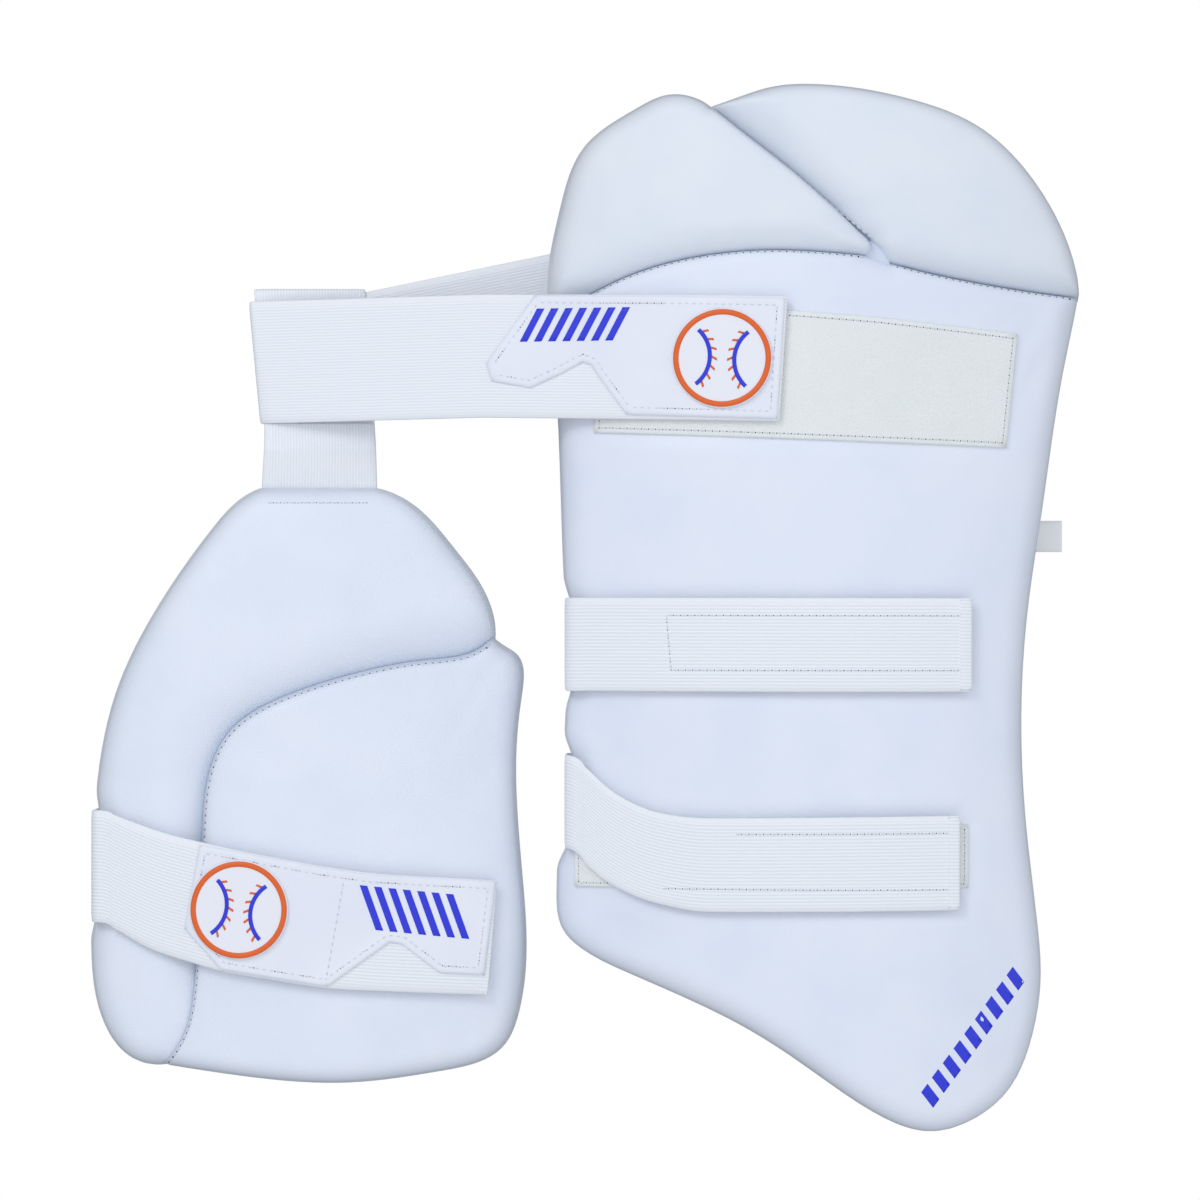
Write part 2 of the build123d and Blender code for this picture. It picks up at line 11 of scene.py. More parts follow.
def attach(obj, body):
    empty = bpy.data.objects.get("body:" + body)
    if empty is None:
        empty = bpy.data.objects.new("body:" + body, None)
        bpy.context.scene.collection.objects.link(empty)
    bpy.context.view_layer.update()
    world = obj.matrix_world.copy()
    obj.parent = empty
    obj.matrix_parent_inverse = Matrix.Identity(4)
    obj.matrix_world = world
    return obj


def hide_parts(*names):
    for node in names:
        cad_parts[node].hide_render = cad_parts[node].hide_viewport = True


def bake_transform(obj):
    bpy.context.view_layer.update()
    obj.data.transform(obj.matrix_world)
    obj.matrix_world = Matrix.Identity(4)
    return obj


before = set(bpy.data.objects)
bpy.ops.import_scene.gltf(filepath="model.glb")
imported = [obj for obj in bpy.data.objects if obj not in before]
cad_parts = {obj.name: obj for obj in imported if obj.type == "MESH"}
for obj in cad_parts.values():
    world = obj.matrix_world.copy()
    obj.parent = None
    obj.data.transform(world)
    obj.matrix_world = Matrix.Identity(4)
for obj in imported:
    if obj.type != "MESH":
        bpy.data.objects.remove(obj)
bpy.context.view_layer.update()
MM = 0.001

# ------------------------------------------------------------------ the guard's own surfaces, in mm
OUTER = {"x": 93.0, "radius": 215.0, "crown": 32.3, "seam_y": 131.0, "dip": math.tan(math.radians(0.7))}
INNER = {"x": -118.9, "radius": 230.0, "crown": 19.6, "seam_y": 0.0, "dip": 0.0}
LINING = 1.5
MAIN_TOP, HIP_TOP, INNER_TOP = 25.5, 27.5, 21.5
LOOP, HOOK, WEB, OVERLAY, BADGE = 1.2, 1.2, 1.8, 1.5, 1.5
HOOK_LOW = LOOP + 0.3
WEB_LOW = HOOK_LOW + HOOK
OVERLAY_LOW = WEB_LOW + WEB
BADGE_LOW = OVERLAY_LOW + OVERLAY


def arch(pad, x, y, up):
    """Height of the layer that is up mm above a pad's lining, at x, y. Arrays or numbers."""
    across = np.minimum(np.abs(x - pad["x"]), pad["radius"] * 0.95)
    return (
        pad["crown"] + (y - pad["seam_y"]) * pad["dip"]
        - pad["radius"] + np.sqrt((pad["radius"] + up) ** 2 - across**2)
    )


BELT_START = (-136.05, 6.4)
BELT_Y = 105.0
WEB_RADIUS = OUTER["radius"] + MAIN_TOP + WEB_LOW + WEB / 2
belt_place = (
    BELT_START[0] - OUTER["x"],
    BELT_START[1] - (OUTER["crown"] + (BELT_Y - OUTER["seam_y"]) * OUTER["dip"]) + OUTER["radius"],
)
TOUCH = math.atan2(belt_place[1], belt_place[0]) - math.acos(WEB_RADIUS / math.hypot(*belt_place))


def belt(x, y, up):
    """Height of the belt's front run: straight up from the fold, then along the outer pad's arch."""
    reach = OUTER["radius"] + up
    touch_x = OUTER["x"] + math.cos(TOUCH) * reach
    climb = (
        OUTER["crown"] + (y - OUTER["seam_y"]) * OUTER["dip"] - OUTER["radius"]
        + math.sin(TOUCH) * reach + (touch_x - x) / math.sin(TOUCH) * math.cos(TOUCH)
    )
    return np.where(x < touch_x, climb, arch(OUTER, np.maximum(x, touch_x), y, up))


def outer(up):
    return lambda x, y: arch(OUTER, x, y, up)


def inner(up):
    return lambda x, y: arch(INNER, x, y, up)


def over(up):
    return lambda x, y: belt(x, y, up)


# ------------------------------------------------------------------ outlines, read from the frame
def rims(node):
    """Closed loops, in mm, where a CAD node's walls meet its underside, the largest first."""
    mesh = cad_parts[node].data
    index, places, ids = {}, [], []
    for v in mesh.vertices:
        key = tuple(round(c * 1e5) for c in v.co)
        if key not in index:
            index[key] = len(places)
            places.append(np.array(v.co) * 1000)
        ids.append(index[key])
    kinds = {}
    for p in mesh.polygons:
        kind = "wall" if abs(p.normal.z) < 0.3 else ("under" if p.normal.z < 0 else "upper")
        ring = [ids[v] for v in p.vertices]
        for a, b in zip(ring, ring[1:] + ring[:1]):
            kinds.setdefault(frozenset((a, b)), set()).add(kind)
    near = {}
    for edge, kind in kinds.items():
        if kind == {"wall", "under"} and len(edge) == 2:
            a, b = tuple(edge)
            near.setdefault(a, []).append(b)
            near.setdefault(b, []).append(a)
    loops, seen = [], set()
    for first in sorted(near):
        if first in seen:
            continue
        loop, at = [first], first
        seen.add(first)
        while True:
            ahead = [n for n in near[at] if n not in seen]
            if not ahead:
                break
            at = ahead[0]
            seen.add(at)
            loop.append(at)
        loops.append(np.array([places[i][:2] for i in loop]))
    return sorted(loops, key=lambda l: -abs(area(l)))


def area(loop):
    x, y = loop[:, 0], loop[:, 1]
    return 0.5 * float(np.dot(x, np.roll(y, -1)) - np.dot(y, np.roll(x, -1)))


def outline(node):
    loop = rims(node)[0]
    return loop if area(loop) > 0 else loop[::-1]


def spaced(loop, step, corner=28.0):
    """A closed outline with points about step apart, keeping its corners."""
    ahead = np.roll(loop, -1, 0) - loop
    behind = loop - np.roll(loop, 1, 0)
    turn = np.degrees(np.abs(np.arctan2(
        behind[:, 0] * ahead[:, 1] - behind[:, 1] * ahead[:, 0], (behind * ahead).sum(1)
    )))
    corners = [i for i in range(len(loop)) if turn[i] > corner] or [0]
    made = []
    for k, a in enumerate(corners):
        b = corners[(k + 1) % len(corners)]
        run = [loop[a]]
        i = a
        while True:
            i = (i + 1) % len(loop)
            run.append(loop[i])
            if i == b:
                break
        run = np.array(run)
        length = np.concatenate([[0], np.cumsum(np.hypot(*np.diff(run, axis=0).T))])
        count = max(1, round(length[-1] / step))
        at = np.linspace(0, length[-1], count + 1)[:-1]
        made.append(np.stack([np.interp(at, length, run[:, 0]), np.interp(at, length, run[:, 1])], 1))
    return np.concatenate(made)


def from_segments(points, segments, far):
    """Distance of each point from the nearest of some segments, or far if that is less, in mm."""
    best = np.full(len(points), far)
    for s, e in segments:
        d = e - s
        t = np.clip(((points - s) @ d) / max(d @ d, 1e-9), 0, 1)
        best = np.minimum(best, np.hypot(*(points - s - t[:, None] * d).T))
    return best


def distance(points, loop):
    """Distance of each point from an outline, in mm."""
    return from_segments(points, zip(loop, np.roll(loop, -1, 0)), 1e9)


def inside(points, loop):
    hit = np.zeros(len(points), bool)
    x, y = points[:, 0], points[:, 1]
    for (ax, ay), (bx, by) in zip(loop, np.roll(loop, -1, 0)):
        if ay == by:
            continue
        crosses = ((ay > y) != (by > y)) & (x < (bx - ax) * (y - ay) / (by - ay) + ax)
        hit ^= crosses
    return hit


def normals(loop):
    """Inward normals of a counter-clockwise outline."""
    along = np.roll(loop, -1, 0) - np.roll(loop, 1, 0)
    along /= np.maximum(np.hypot(*along.T), 1e-9)[:, None]
    return np.stack([-along[:, 1], along[:, 0]], 1)


# ------------------------------------------------------------------ meshes
def mesh_object(name, verts, faces, uv=None, smooth=True):
    mesh = bpy.data.meshes.new(name)
    places = (np.asarray(verts, float) * MM).tolist()
    mesh.from_pydata(places, [], [tuple(int(i) for i in f) for f in faces])
    mesh.validate()
    if uv is not None:
        layer = mesh.uv_layers.new(name="plan")
        corners = np.zeros(len(mesh.loops), np.int32)
        mesh.loops.foreach_get("vertex_index", corners)
        layer.data.foreach_set("uv", np.asarray(uv, np.float32)[corners].ravel())
    mesh.polygons.foreach_set("use_smooth", [smooth] * len(mesh.polygons))
    mesh.update()
    made = bpy.data.objects.new(name, mesh)
    bpy.context.scene.collection.objects.link(made)
    return made


def attribute(piece, name, values):
    layer = piece.data.attributes.new(name, "FLOAT", "POINT")
    layer.data.foreach_set("value", np.asarray(values, np.float32))


def filled(loop, step, rings):
    """Points and triangles that fill an outline: its own points first, rings beside it, then a grid."""
    count = len(loop)
    points = [loop]
    inward = normals(loop)
    for d in rings:
        ring = loop + inward * d
        keep = inside(ring, loop) & (distance(ring, loop) > 0.93 * d)
        points.append(ring[keep])
    low, high = loop.min(0), loop.max(0)
    columns = np.arange(low[0] + step / 2, high[0], step)
    gx, gy = np.meshgrid(columns, np.arange(low[1] + step / 2, high[1], step * 0.87))
    gx[1::2] += step / 2
    grid = np.stack([gx.ravel(), gy.ravel()], 1)
    grid = grid[inside(grid, loop)]
    margin = (rings[-1] if rings else 0) + step * 0.6
    points.append(grid[distance(grid, loop) > margin])
    flat = np.concatenate(points)
    result = geometry.delaunay_2d_cdt([Vector(p) for p in flat], [], [list(range(count))], 1, 1e-5)
    xy = np.array([list(v) for v in result[0]])
    order = np.full(count, -1)
    for new, old in enumerate(result[3]):
        for o in old:
            if o < count:
                order[o] = new
    return xy, [tuple(f) for f in result[2]], order


def closed_form(name, loop, top, bottom, step, rings, wall_steps, bulge=0.0, uv=None, tuck=0.0):
    """A closed form over an outline: a top and an underside height field, joined by a wall.
    bulge pushes the wall's middle outwards, and tuck pulls its foot in to the seam."""
    xy, faces, rim = filled(loop, step, rings)
    upper = np.column_stack([xy, top(xy[:, 0], xy[:, 1])])
    lower_xy, lower_faces, lower_rim = filled(loop, step * 2.2, [])
    lower = np.column_stack([lower_xy, bottom(lower_xy[:, 0], lower_xy[:, 1])])
    verts = [upper]
    all_faces = list(faces)
    outward = -normals(loop)
    count = len(loop)
    rim_top = upper[rim][:, 2]
    rim_low = bottom(loop[:, 0], loop[:, 1])
    last = list(rim)
    base = len(upper)
    for k in range(1, wall_steps + 1):
        t = k / wall_steps
        away = bulge * math.sin(math.pi * t) - tuck * t**4
        ring = np.column_stack([loop + outward * away, rim_top + (rim_low - rim_top) * t])
        verts.append(ring)
        here = list(range(base, base + count))
        for i in range(count):
            j = (i + 1) % count
            all_faces.append((last[i], here[i], here[j], last[j]))
        last = here
        base += count
    tucked = dict(zip(lower_rim, range(count)))
    kept = [i for i in range(len(lower)) if i not in tucked]
    number = {old: base + k for k, old in enumerate(kept)}
    for old, k in tucked.items():
        number[old] = last[k]
    verts.append(lower[kept])
    all_faces += [tuple(number[i] for i in reversed(f)) for f in lower_faces]
    verts = np.concatenate(verts)
    return mesh_object(name, verts, all_faces, uv(verts) if uv else verts[:, :2])


def along_line(direction, centre=(0.0, 0.0)):
    """Plan coordinates turned so that u runs along a strap and v across it."""
    d = np.array(direction, float) / math.hypot(*direction)

    def uv(verts):
        p = verts[:, :2] - np.array(centre)
        return np.stack([p @ d, p @ np.array([-d[1], d[0]])], 1)

    return uv


def rounded(d, width, drop):
    """How far a shoulder has fallen at distance d from an edge."""
    t = np.clip(d / width, 0, 1)
    return drop * (1 - np.sqrt(np.maximum(1 - (1 - t) ** 2, 0)))


def tape(name, loop, surface, low, high, step=4.0, edge=0.5, uv=None, extra=None):
    """A flat piece lying on a surface, with softened edges. surface(up) gives its height function."""
    top_of, bottom_of = surface(high), surface(low)
    loop = spaced(loop, step)

    def top(x, y):
        z = top_of(x, y)
        d = distance(np.stack([x, y], 1), loop)
        z = z - rounded(d, edge * 2, min(edge, (high - low) * 0.45))
        return z + (extra(x, y, d) if extra else 0)

    return closed_form(name, loop, top, bottom_of, step, [edge * 0.35, edge, edge * 2.2], 1, uv=uv)


def finish_piece(piece, body, material, slot, *nodes):
    piece.data.materials.append(material)
    if isinstance(body, tuple):
        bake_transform(piece)
    else:
        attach(piece, body)
    if nodes:
        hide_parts(*nodes)
    return piece


# ------------------------------------------------------------------ materials
def new_material(name):
    made = bpy.data.materials.new(name)
    made.use_nodes = True
    tree = made.node_tree
    tree.nodes.clear()
    out = tree.nodes.new("ShaderNodeOutputMaterial")
    shader = tree.nodes.new("ShaderNodeBsdfPrincipled")
    tree.links.new(shader.outputs[0], out.inputs[0])
    return made, tree, shader


def add(tree, kind, inputs=None, **settings):
    node = tree.nodes.new(kind)
    for key, value in settings.items():
        setattr(node, key, value)
    for key, value in (inputs or {}).items():
        socket = node.inputs[key]
        if isinstance(value, bpy.types.NodeSocket):
            tree.links.new(value, socket)
        else:
            socket.default_value = value
    return node


def maths(tree, operation, a, b=0.0, clamp=False):
    return add(tree, "ShaderNodeMath", {0: a, 1: b}, operation=operation, use_clamp=clamp).outputs[0]


def times(tree, a, b, clamp=False):
    return maths(tree, "MULTIPLY", a, b, clamp)


def plus(tree, a, b, clamp=False):
    return maths(tree, "ADD", a, b, clamp)


def bumped(tree, shader, strength, size, height):
    bump = add(tree, "ShaderNodeBump", {"Strength": strength, "Distance": size, "Height": height})
    tree.links.new(bump.outputs[0], shader.inputs["Normal"])


def settle(shader, values):
    """Sets a shader's own sockets."""
    for key, value in values.items():
        shader.inputs[key].default_value = value


def mixed(tree, factor, a, b):
    node = add(tree, "ShaderNodeMix", data_type="RGBA")
    for socket, value in ((node.inputs[0], factor), (node.inputs[6], a), (node.inputs[7], b)):
        if isinstance(value, bpy.types.NodeSocket):
            tree.links.new(value, socket)
        else:
            socket.default_value = value
    return node.outputs[2]


def texture_place(tree, scale):
    """Object coordinates, in units of 1/scale metres."""
    at = add(tree, "ShaderNodeTexCoord").outputs["Object"]
    return add(tree, "ShaderNodeVectorMath", {0: at, 1: (scale,) * 3}, operation="MULTIPLY").outputs[0]


def plan_uv(tree):
    at = add(tree, "ShaderNodeUVMap", uv_map="plan")
    parts = add(tree, "ShaderNodeSeparateXYZ", {0: at.outputs[0]})
    return parts.outputs[0], parts.outputs[1]


def rgb(r, g, b):
    """A colour from its 0-255 sRGB values."""
    linear = [((c / 255 + 0.055) / 1.055) ** 2.4 if c > 10 else c / 255 / 12.92 for c in (r, g, b)]
    return (*linear, 1.0)


def leather(name, colour, shade, grain=1.0, emboss=False):
    """Smooth PU leather: fine pebble grain, faint blotches, a soft sheen, painted shade that greys it where
    the crease attribute is set and, where embossed, a fine net.
    """
    made, tree, shader = new_material(name)
    place = texture_place(tree, 1000.0)
    pebble = add(tree, "ShaderNodeTexVoronoi", {"Vector": place, "Scale": 1.35}, feature="DISTANCE_TO_EDGE")
    pebble_height = maths(tree, "MINIMUM", pebble.outputs["Distance"], 0.16)
    fine = add(tree, "ShaderNodeTexNoise", {"Vector": place, "Scale": 2.6, "Detail": 3.0})
    broad = add(tree, "ShaderNodeTexNoise", {"Vector": place, "Scale": 0.028, "Detail": 3.0})
    blotch = add(tree, "ShaderNodeMapRange", {0: broad.outputs[0], 1: 0.35, 2: 0.65, 3: 0.0, 4: 1.0})
    crease = add(tree, "ShaderNodeAttribute", attribute_name="crease")
    base = mixed(tree, blotch.outputs[0], colour, shade)
    # Painted shade: the crease attribute mixes the colour towards a grey blue, standing in for the shade in
    # the valleys beside the seams.
    crease_shaded = mixed(tree, times(tree, crease.outputs["Fac"], 0.55, True), base, rgb(196, 205, 218))
    tree.links.new(crease_shaded, shader.inputs["Base Color"])
    rough = add(tree, "ShaderNodeMapRange", {0: fine.outputs[0], 1: 0.3, 2: 0.7, 3: 0.44, 4: 0.56})
    tree.links.new(rough.outputs[0], shader.inputs["Roughness"])
    height = plus(tree, times(tree, pebble_height, 1.6), times(tree, fine.outputs[0], 0.35))
    if emboss:
        x, y, _ = add(tree, "ShaderNodeSeparateXYZ", {0: place}).outputs
        one = maths(tree, "SINE", times(tree, plus(tree, x, y), 2.6))
        two = maths(tree, "SINE", times(tree, maths(tree, "SUBTRACT", x, y), 2.6))
        net = maths(tree, "MAXIMUM", maths(tree, "ABSOLUTE", one), maths(tree, "ABSOLUTE", two))
        height = plus(tree, height, times(tree, net, -1.3))
    bumped(tree, shader, 0.22 * grain, 0.00022, height)
    settle(shader, {"Coat Weight": 0.08, "Coat Roughness": 0.35, "Specular IOR Level": 0.42})
    return made


def elastic(name, colour, dark, pitch=1.42, depth=1.0):
    """Woven elastic: ribs along the strap, fine picks across it, a smooth selvedge down each side, and
    painted shade darkening the rib grooves.
    """
    made, tree, shader = new_material(name)
    u, v = plan_uv(tree)
    rib = maths(tree, "SINE", times(tree, v, 2 * math.pi / pitch))
    pick = maths(tree, "SINE", times(tree, u, 2 * math.pi / 0.62))
    swap = times(tree, maths(tree, "SIGN", rib), pick)
    weave = plus(tree, times(tree, rib, 0.5), 0.5)
    selvedge = add(tree, "ShaderNodeAttribute", attribute_name="selvedge").outputs["Fac"]
    ribbed = times(tree, maths(tree, "POWER", weave, 1.6), maths(tree, "SUBTRACT", 1.0, selvedge))
    place = texture_place(tree, 1000.0)
    thread = add(tree, "ShaderNodeTexNoise", {"Vector": place, "Scale": 3.5, "Detail": 2.0})
    # Painted shade: the colour goes darker where the ribbed height is low, in the rib grooves; the thread
    # noise adds a random tone.
    tone = plus(tree, times(tree, ribbed, -0.62), times(tree, thread.outputs[0], -0.16), False)
    base = mixed(tree, times(tree, tone, -1.0, True), colour, dark)
    tree.links.new(base, shader.inputs["Base Color"])
    height = plus(tree, times(tree, ribbed, -1.0), times(tree, swap, 0.14))
    height = plus(tree, height, times(tree, thread.outputs[0], 0.3))
    bumped(tree, shader, 0.55 * depth, 0.0004, height)
    settle(shader, {
        "Roughness": 0.72, "Sheen Weight": 0.25,
        "Sheen Roughness": 0.4, "Specular IOR Level": 0.3,
    })
    return made


def pile(name, colour, dark, scale=2.1, strength=0.6):
    """Loop or hook tape: a dense mat of small curls over a knitted ground, with painted shade between the
    curls.
    """
    made, tree, shader = new_material(name)
    place = texture_place(tree, 1000.0)
    curls = add(tree, "ShaderNodeTexVoronoi", {"Vector": place, "Scale": scale})
    tuft_values = {"Vector": place, "Scale": scale * 0.7, "Detail": 4.0, "Roughness": 0.7}
    tuft = add(tree, "ShaderNodeTexNoise", tuft_values)
    broad = add(tree, "ShaderNodeTexNoise", {"Vector": place, "Scale": 0.05, "Detail": 2.0})
    # Painted shade: the colour goes darker where the curl height is low, between the curls, mixed with a
    # broad random tone.
    tone = plus(tree, times(tree, curls.outputs["Distance"], 0.55), times(tree, broad.outputs[0], 0.45))
    base = mixed(tree, times(tree, tone, 0.7, True), colour, dark)
    tree.links.new(base, shader.inputs["Base Color"])
    height = plus(tree, times(tree, curls.outputs["Distance"], -0.8), tuft.outputs[0])
    bumped(tree, shader, strength, 0.0004, height)
    settle(shader, {
        "Roughness": 0.88, "Sheen Weight": 0.4,
        "Sheen Roughness": 0.5, "Specular IOR Level": 0.2,
    })
    return made


def towelling(name, colour, dark):
    """Lining: knitted mesh with small regular holes over towelling, with painted shade in the holes."""
    made, tree, shader = new_material(name)
    place = texture_place(tree, 1000.0)
    parts = add(tree, "ShaderNodeSeparateXYZ", {0: place})
    one = maths(tree, "SINE", times(tree, parts.outputs[0], 2 * math.pi / 2.4))
    two = maths(tree, "SINE", times(tree, parts.outputs[1], 2 * math.pi / 2.4))
    hole = maths(tree, "GREATER_THAN", times(tree, one, two), 0.72)
    fuzz = add(tree, "ShaderNodeTexNoise", {"Vector": place, "Scale": 1.6, "Detail": 4.0})
    # Painted shade: the holes are coloured darker, for the shade inside them, with a random fuzz tone over
    # all.
    tone = plus(tree, times(tree, hole, 0.7), times(tree, fuzz.outputs[0], 0.5), True)
    tree.links.new(mixed(tree, tone, colour, dark), shader.inputs["Base Color"])
    height = plus(tree, times(tree, hole, -1.0), times(tree, fuzz.outputs[0], 0.8))
    bumped(tree, shader, 0.6, 0.0005, height)
    settle(shader, {"Roughness": 0.9, "Sheen Weight": 0.35})
    return made


def plain(name, colour, roughness, scale=2.0, strength=0.2, variation=0.08):
    """Thread, moulded rubber or printed film: one colour with a fine mottle and tooth."""
    made, tree, shader = new_material(name)
    place = texture_place(tree, 1000.0)
    noise = add(tree, "ShaderNodeTexNoise", {"Vector": place, "Scale": scale, "Detail": 3.0})
    dark = tuple(c * (1 - variation * 2.5) for c in colour[:3]) + (1.0,)
    tree.links.new(mixed(tree, noise.outputs[0], colour, dark), shader.inputs["Base Color"])
    bumped(tree, shader, strength, 0.0002, noise.outputs[0])
    settle(shader, {"Roughness": roughness})
    return made


HIP_LEATHER = leather("hip_leather", rgb(236, 240, 245), rgb(231, 236, 243))
WHITE_LEATHER = leather("pu_leather", rgb(237, 241, 250), rgb(232, 237, 248))
NET_LEATHER = leather("pu_leather_net", rgb(238, 242, 251), rgb(232, 238, 248), emboss=True)
TAB_LEATHER = leather("tab_leather", rgb(243, 244, 250), rgb(237, 239, 247), grain=0.7)
ELASTIC = elastic("strap_elastic", rgb(252, 253, 254), rgb(231, 235, 243), depth=0.7)
BELT_ELASTIC = elastic("belt_elastic", rgb(250, 251, 253), rgb(230, 234, 241), pitch=1.25, depth=0.45)
LOOP_PILE = pile("loop_pile", rgb(253, 254, 250), rgb(226, 231, 227))
HOOK_TAPE = pile("hook_tape", rgb(228, 231, 232), rgb(196, 200, 204), scale=1.2, strength=0.9)
TOWEL = towelling("lining_cloth", rgb(232, 235, 240), rgb(178, 184, 196))
THREAD = plain("white_thread", rgb(232, 235, 240), 0.6)
# Painted shade: a dark grey for the shade inside the needle holes.
HOLE_SHADE = plain("needle_hole_shade", rgb(72, 76, 88), 0.9, variation=0.2)
BLUE = plain("blue_print", rgb(38, 52, 225), 0.42, variation=0.05)
ORANGE = plain("orange_rubber", rgb(243, 104, 28), 0.4, variation=0.05)
BADGE_WHITE = plain("badge_white", rgb(247, 247, 252), 0.38, variation=0.03)
LABEL_CLOTH = plain("label_cloth", rgb(253, 253, 251), 0.6, scale=5.0)

# ------------------------------------------------------------------ padded cells
MAIN = outline("outer_main_cover")
HIP_LEFT = outline("hip_left_cover")
HIP_RIGHT = outline("hip_right_cover")
INNER_MAIN = outline("inner_main_cover")
BOLSTER = outline("inner_bolster_cover")


def split_edges(loop, others):
    """Distance functions to an outline's free edge and to its seams with other cells."""
    dense = spaced(loop, 1.5)
    touching = np.zeros(len(dense), bool)
    for other in others:
        touching |= distance(dense, other) < 0.6
    sewn = touching & np.roll(touching, -1)
    edges = list(zip(dense, np.roll(dense, -1, 0)))
    free = [edge for edge, at_seam in zip(edges, sewn) if not at_seam]
    seam = [edge for edge, at_seam in zip(edges, sewn) if at_seam]

    def to(segments):
        return lambda points: from_segments(points, segments, 1e3)

    return to(free), to(seam)


def ripple(x, y, size, seed):
    """Slow unevenness of a padded surface, between -1 and 1."""
    return (
        np.sin(x / size + seed) * np.sin(y / (size * 1.27) + 1.7 * seed)
        + 0.5 * np.sin((x + y) / (size * 0.61) + 2.3 * seed)
    ) / 1.5


SWELL_FRAMES = 16


def swelling(name, loop, floor_z, top_z):
    """Lets a coarse copy of a cell swell under pressure and returns how far its surface moved."""
    coarse = closed_form("swell_" + name, spaced(loop, 6.0), top_z, floor_z, 6.0, [3.0], 3)
    group = coarse.vertex_groups.new(name="pinned")
    co = np.array([v.co for v in coarse.data.vertices]) * 1000
    edge = distance(co[:, :2], loop)
    for i in range(len(co)):
        if edge[i] < 2.0 or co[i, 2] < floor_z(co[i, 0], co[i, 1]) + 1.0:
            group.add([i], 1.0, "REPLACE")
    cloth = coarse.modifiers.new("swell", "CLOTH")
    cloth.settings.quality = 6
    cloth.settings.mass = 0.3
    cloth.settings.tension_stiffness = 25
    cloth.settings.compression_stiffness = 15
    cloth.settings.bending_stiffness = 1.5
    cloth.settings.use_pressure = True
    cloth.settings.uniform_pressure_force = 4.0
    cloth.settings.effector_weights.gravity = 0.0
    cloth.settings.vertex_group_mass = "pinned"
    cloth.collision_settings.use_collision = False
    cloth.point_cache.frame_start, cloth.point_cache.frame_end = 1, SWELL_FRAMES
    scene = bpy.context.scene
    for number in range(1, SWELL_FRAMES + 1):
        scene.frame_set(number)
    seen = coarse.evaluated_get(bpy.context.evaluated_depsgraph_get())
    moved = np.array([v.co for v in seen.data.vertices]) * 1000
    scene.frame_set(1)
    rise = moved[:, 2] - co[:, 2]
    is_top = co[:, 2] > floor_z(co[:, 0], co[:, 1]) + 6.0
    places, heights = co[is_top][:, :2], rise[is_top]
    bpy.data.objects.remove(coarse)
    return places, heights


def sampled(places, heights, x, y):
    """The coarse copy's rise at finer points, averaged over near ones."""
    tree = KDTree(len(places))
    for i, p in enumerate(places):
        tree.insert((p[0], p[1], 0), i)
    tree.balance()
    made = np.zeros(len(x))
    for i in range(len(x)):
        total = weight = 0.0
        for _, index, far in tree.find_n((x[i], y[i], 0), 6):
            w = 1.0 / (0.5 + far * far)
            total += w * heights[index]
            weight += w
        made[i] = total / max(weight, 1e-9)
    return made


def covered(x, y):
    """1 where a strap or a loop panel lies on a pad, with a soft edge."""
    points = np.stack([x, y], 1)
    best = np.zeros(len(x))
    for loop in FLAT_PIECES:
        away = distance(points, loop)
        near = np.where(inside(points, loop), 1.0, np.clip(1 - away / 6.0, 0, 1))
        best = np.maximum(best, near)
    return best


FLAT_PIECES = [
    outline(n)
    for n in (
        "waist_loop_panel", "upper_loop_strip", "lower_loop_strip", "upper_strap_front",
        "lower_strap_front", "inner_strap_front", "inner_loop_strip", "waist_tab_web",
    )
]


BITES = {"outer": [(-13.6, 19.0, 2.6), (-79.0, 19.5, 4.4)], "inner": [(-106.0, 23.0, 2.2)]}
LEFT_OF = {"outer": 15.0, "inner": -186.0}


def bitten(loop, side):
    """An outline squeezed in at its left edge, where a strap goes round it."""
    moved = loop.copy()
    left = loop[:, 0] < LEFT_OF[side]
    for y, half, depth in BITES[side]:
        reach = np.clip((half + 10.0 - np.abs(loop[:, 1] - y)) / 14.0, 0, 1)
        moved[:, 0] += np.where(left, depth * reach * reach * (3 - 2 * reach), 0)
    return moved


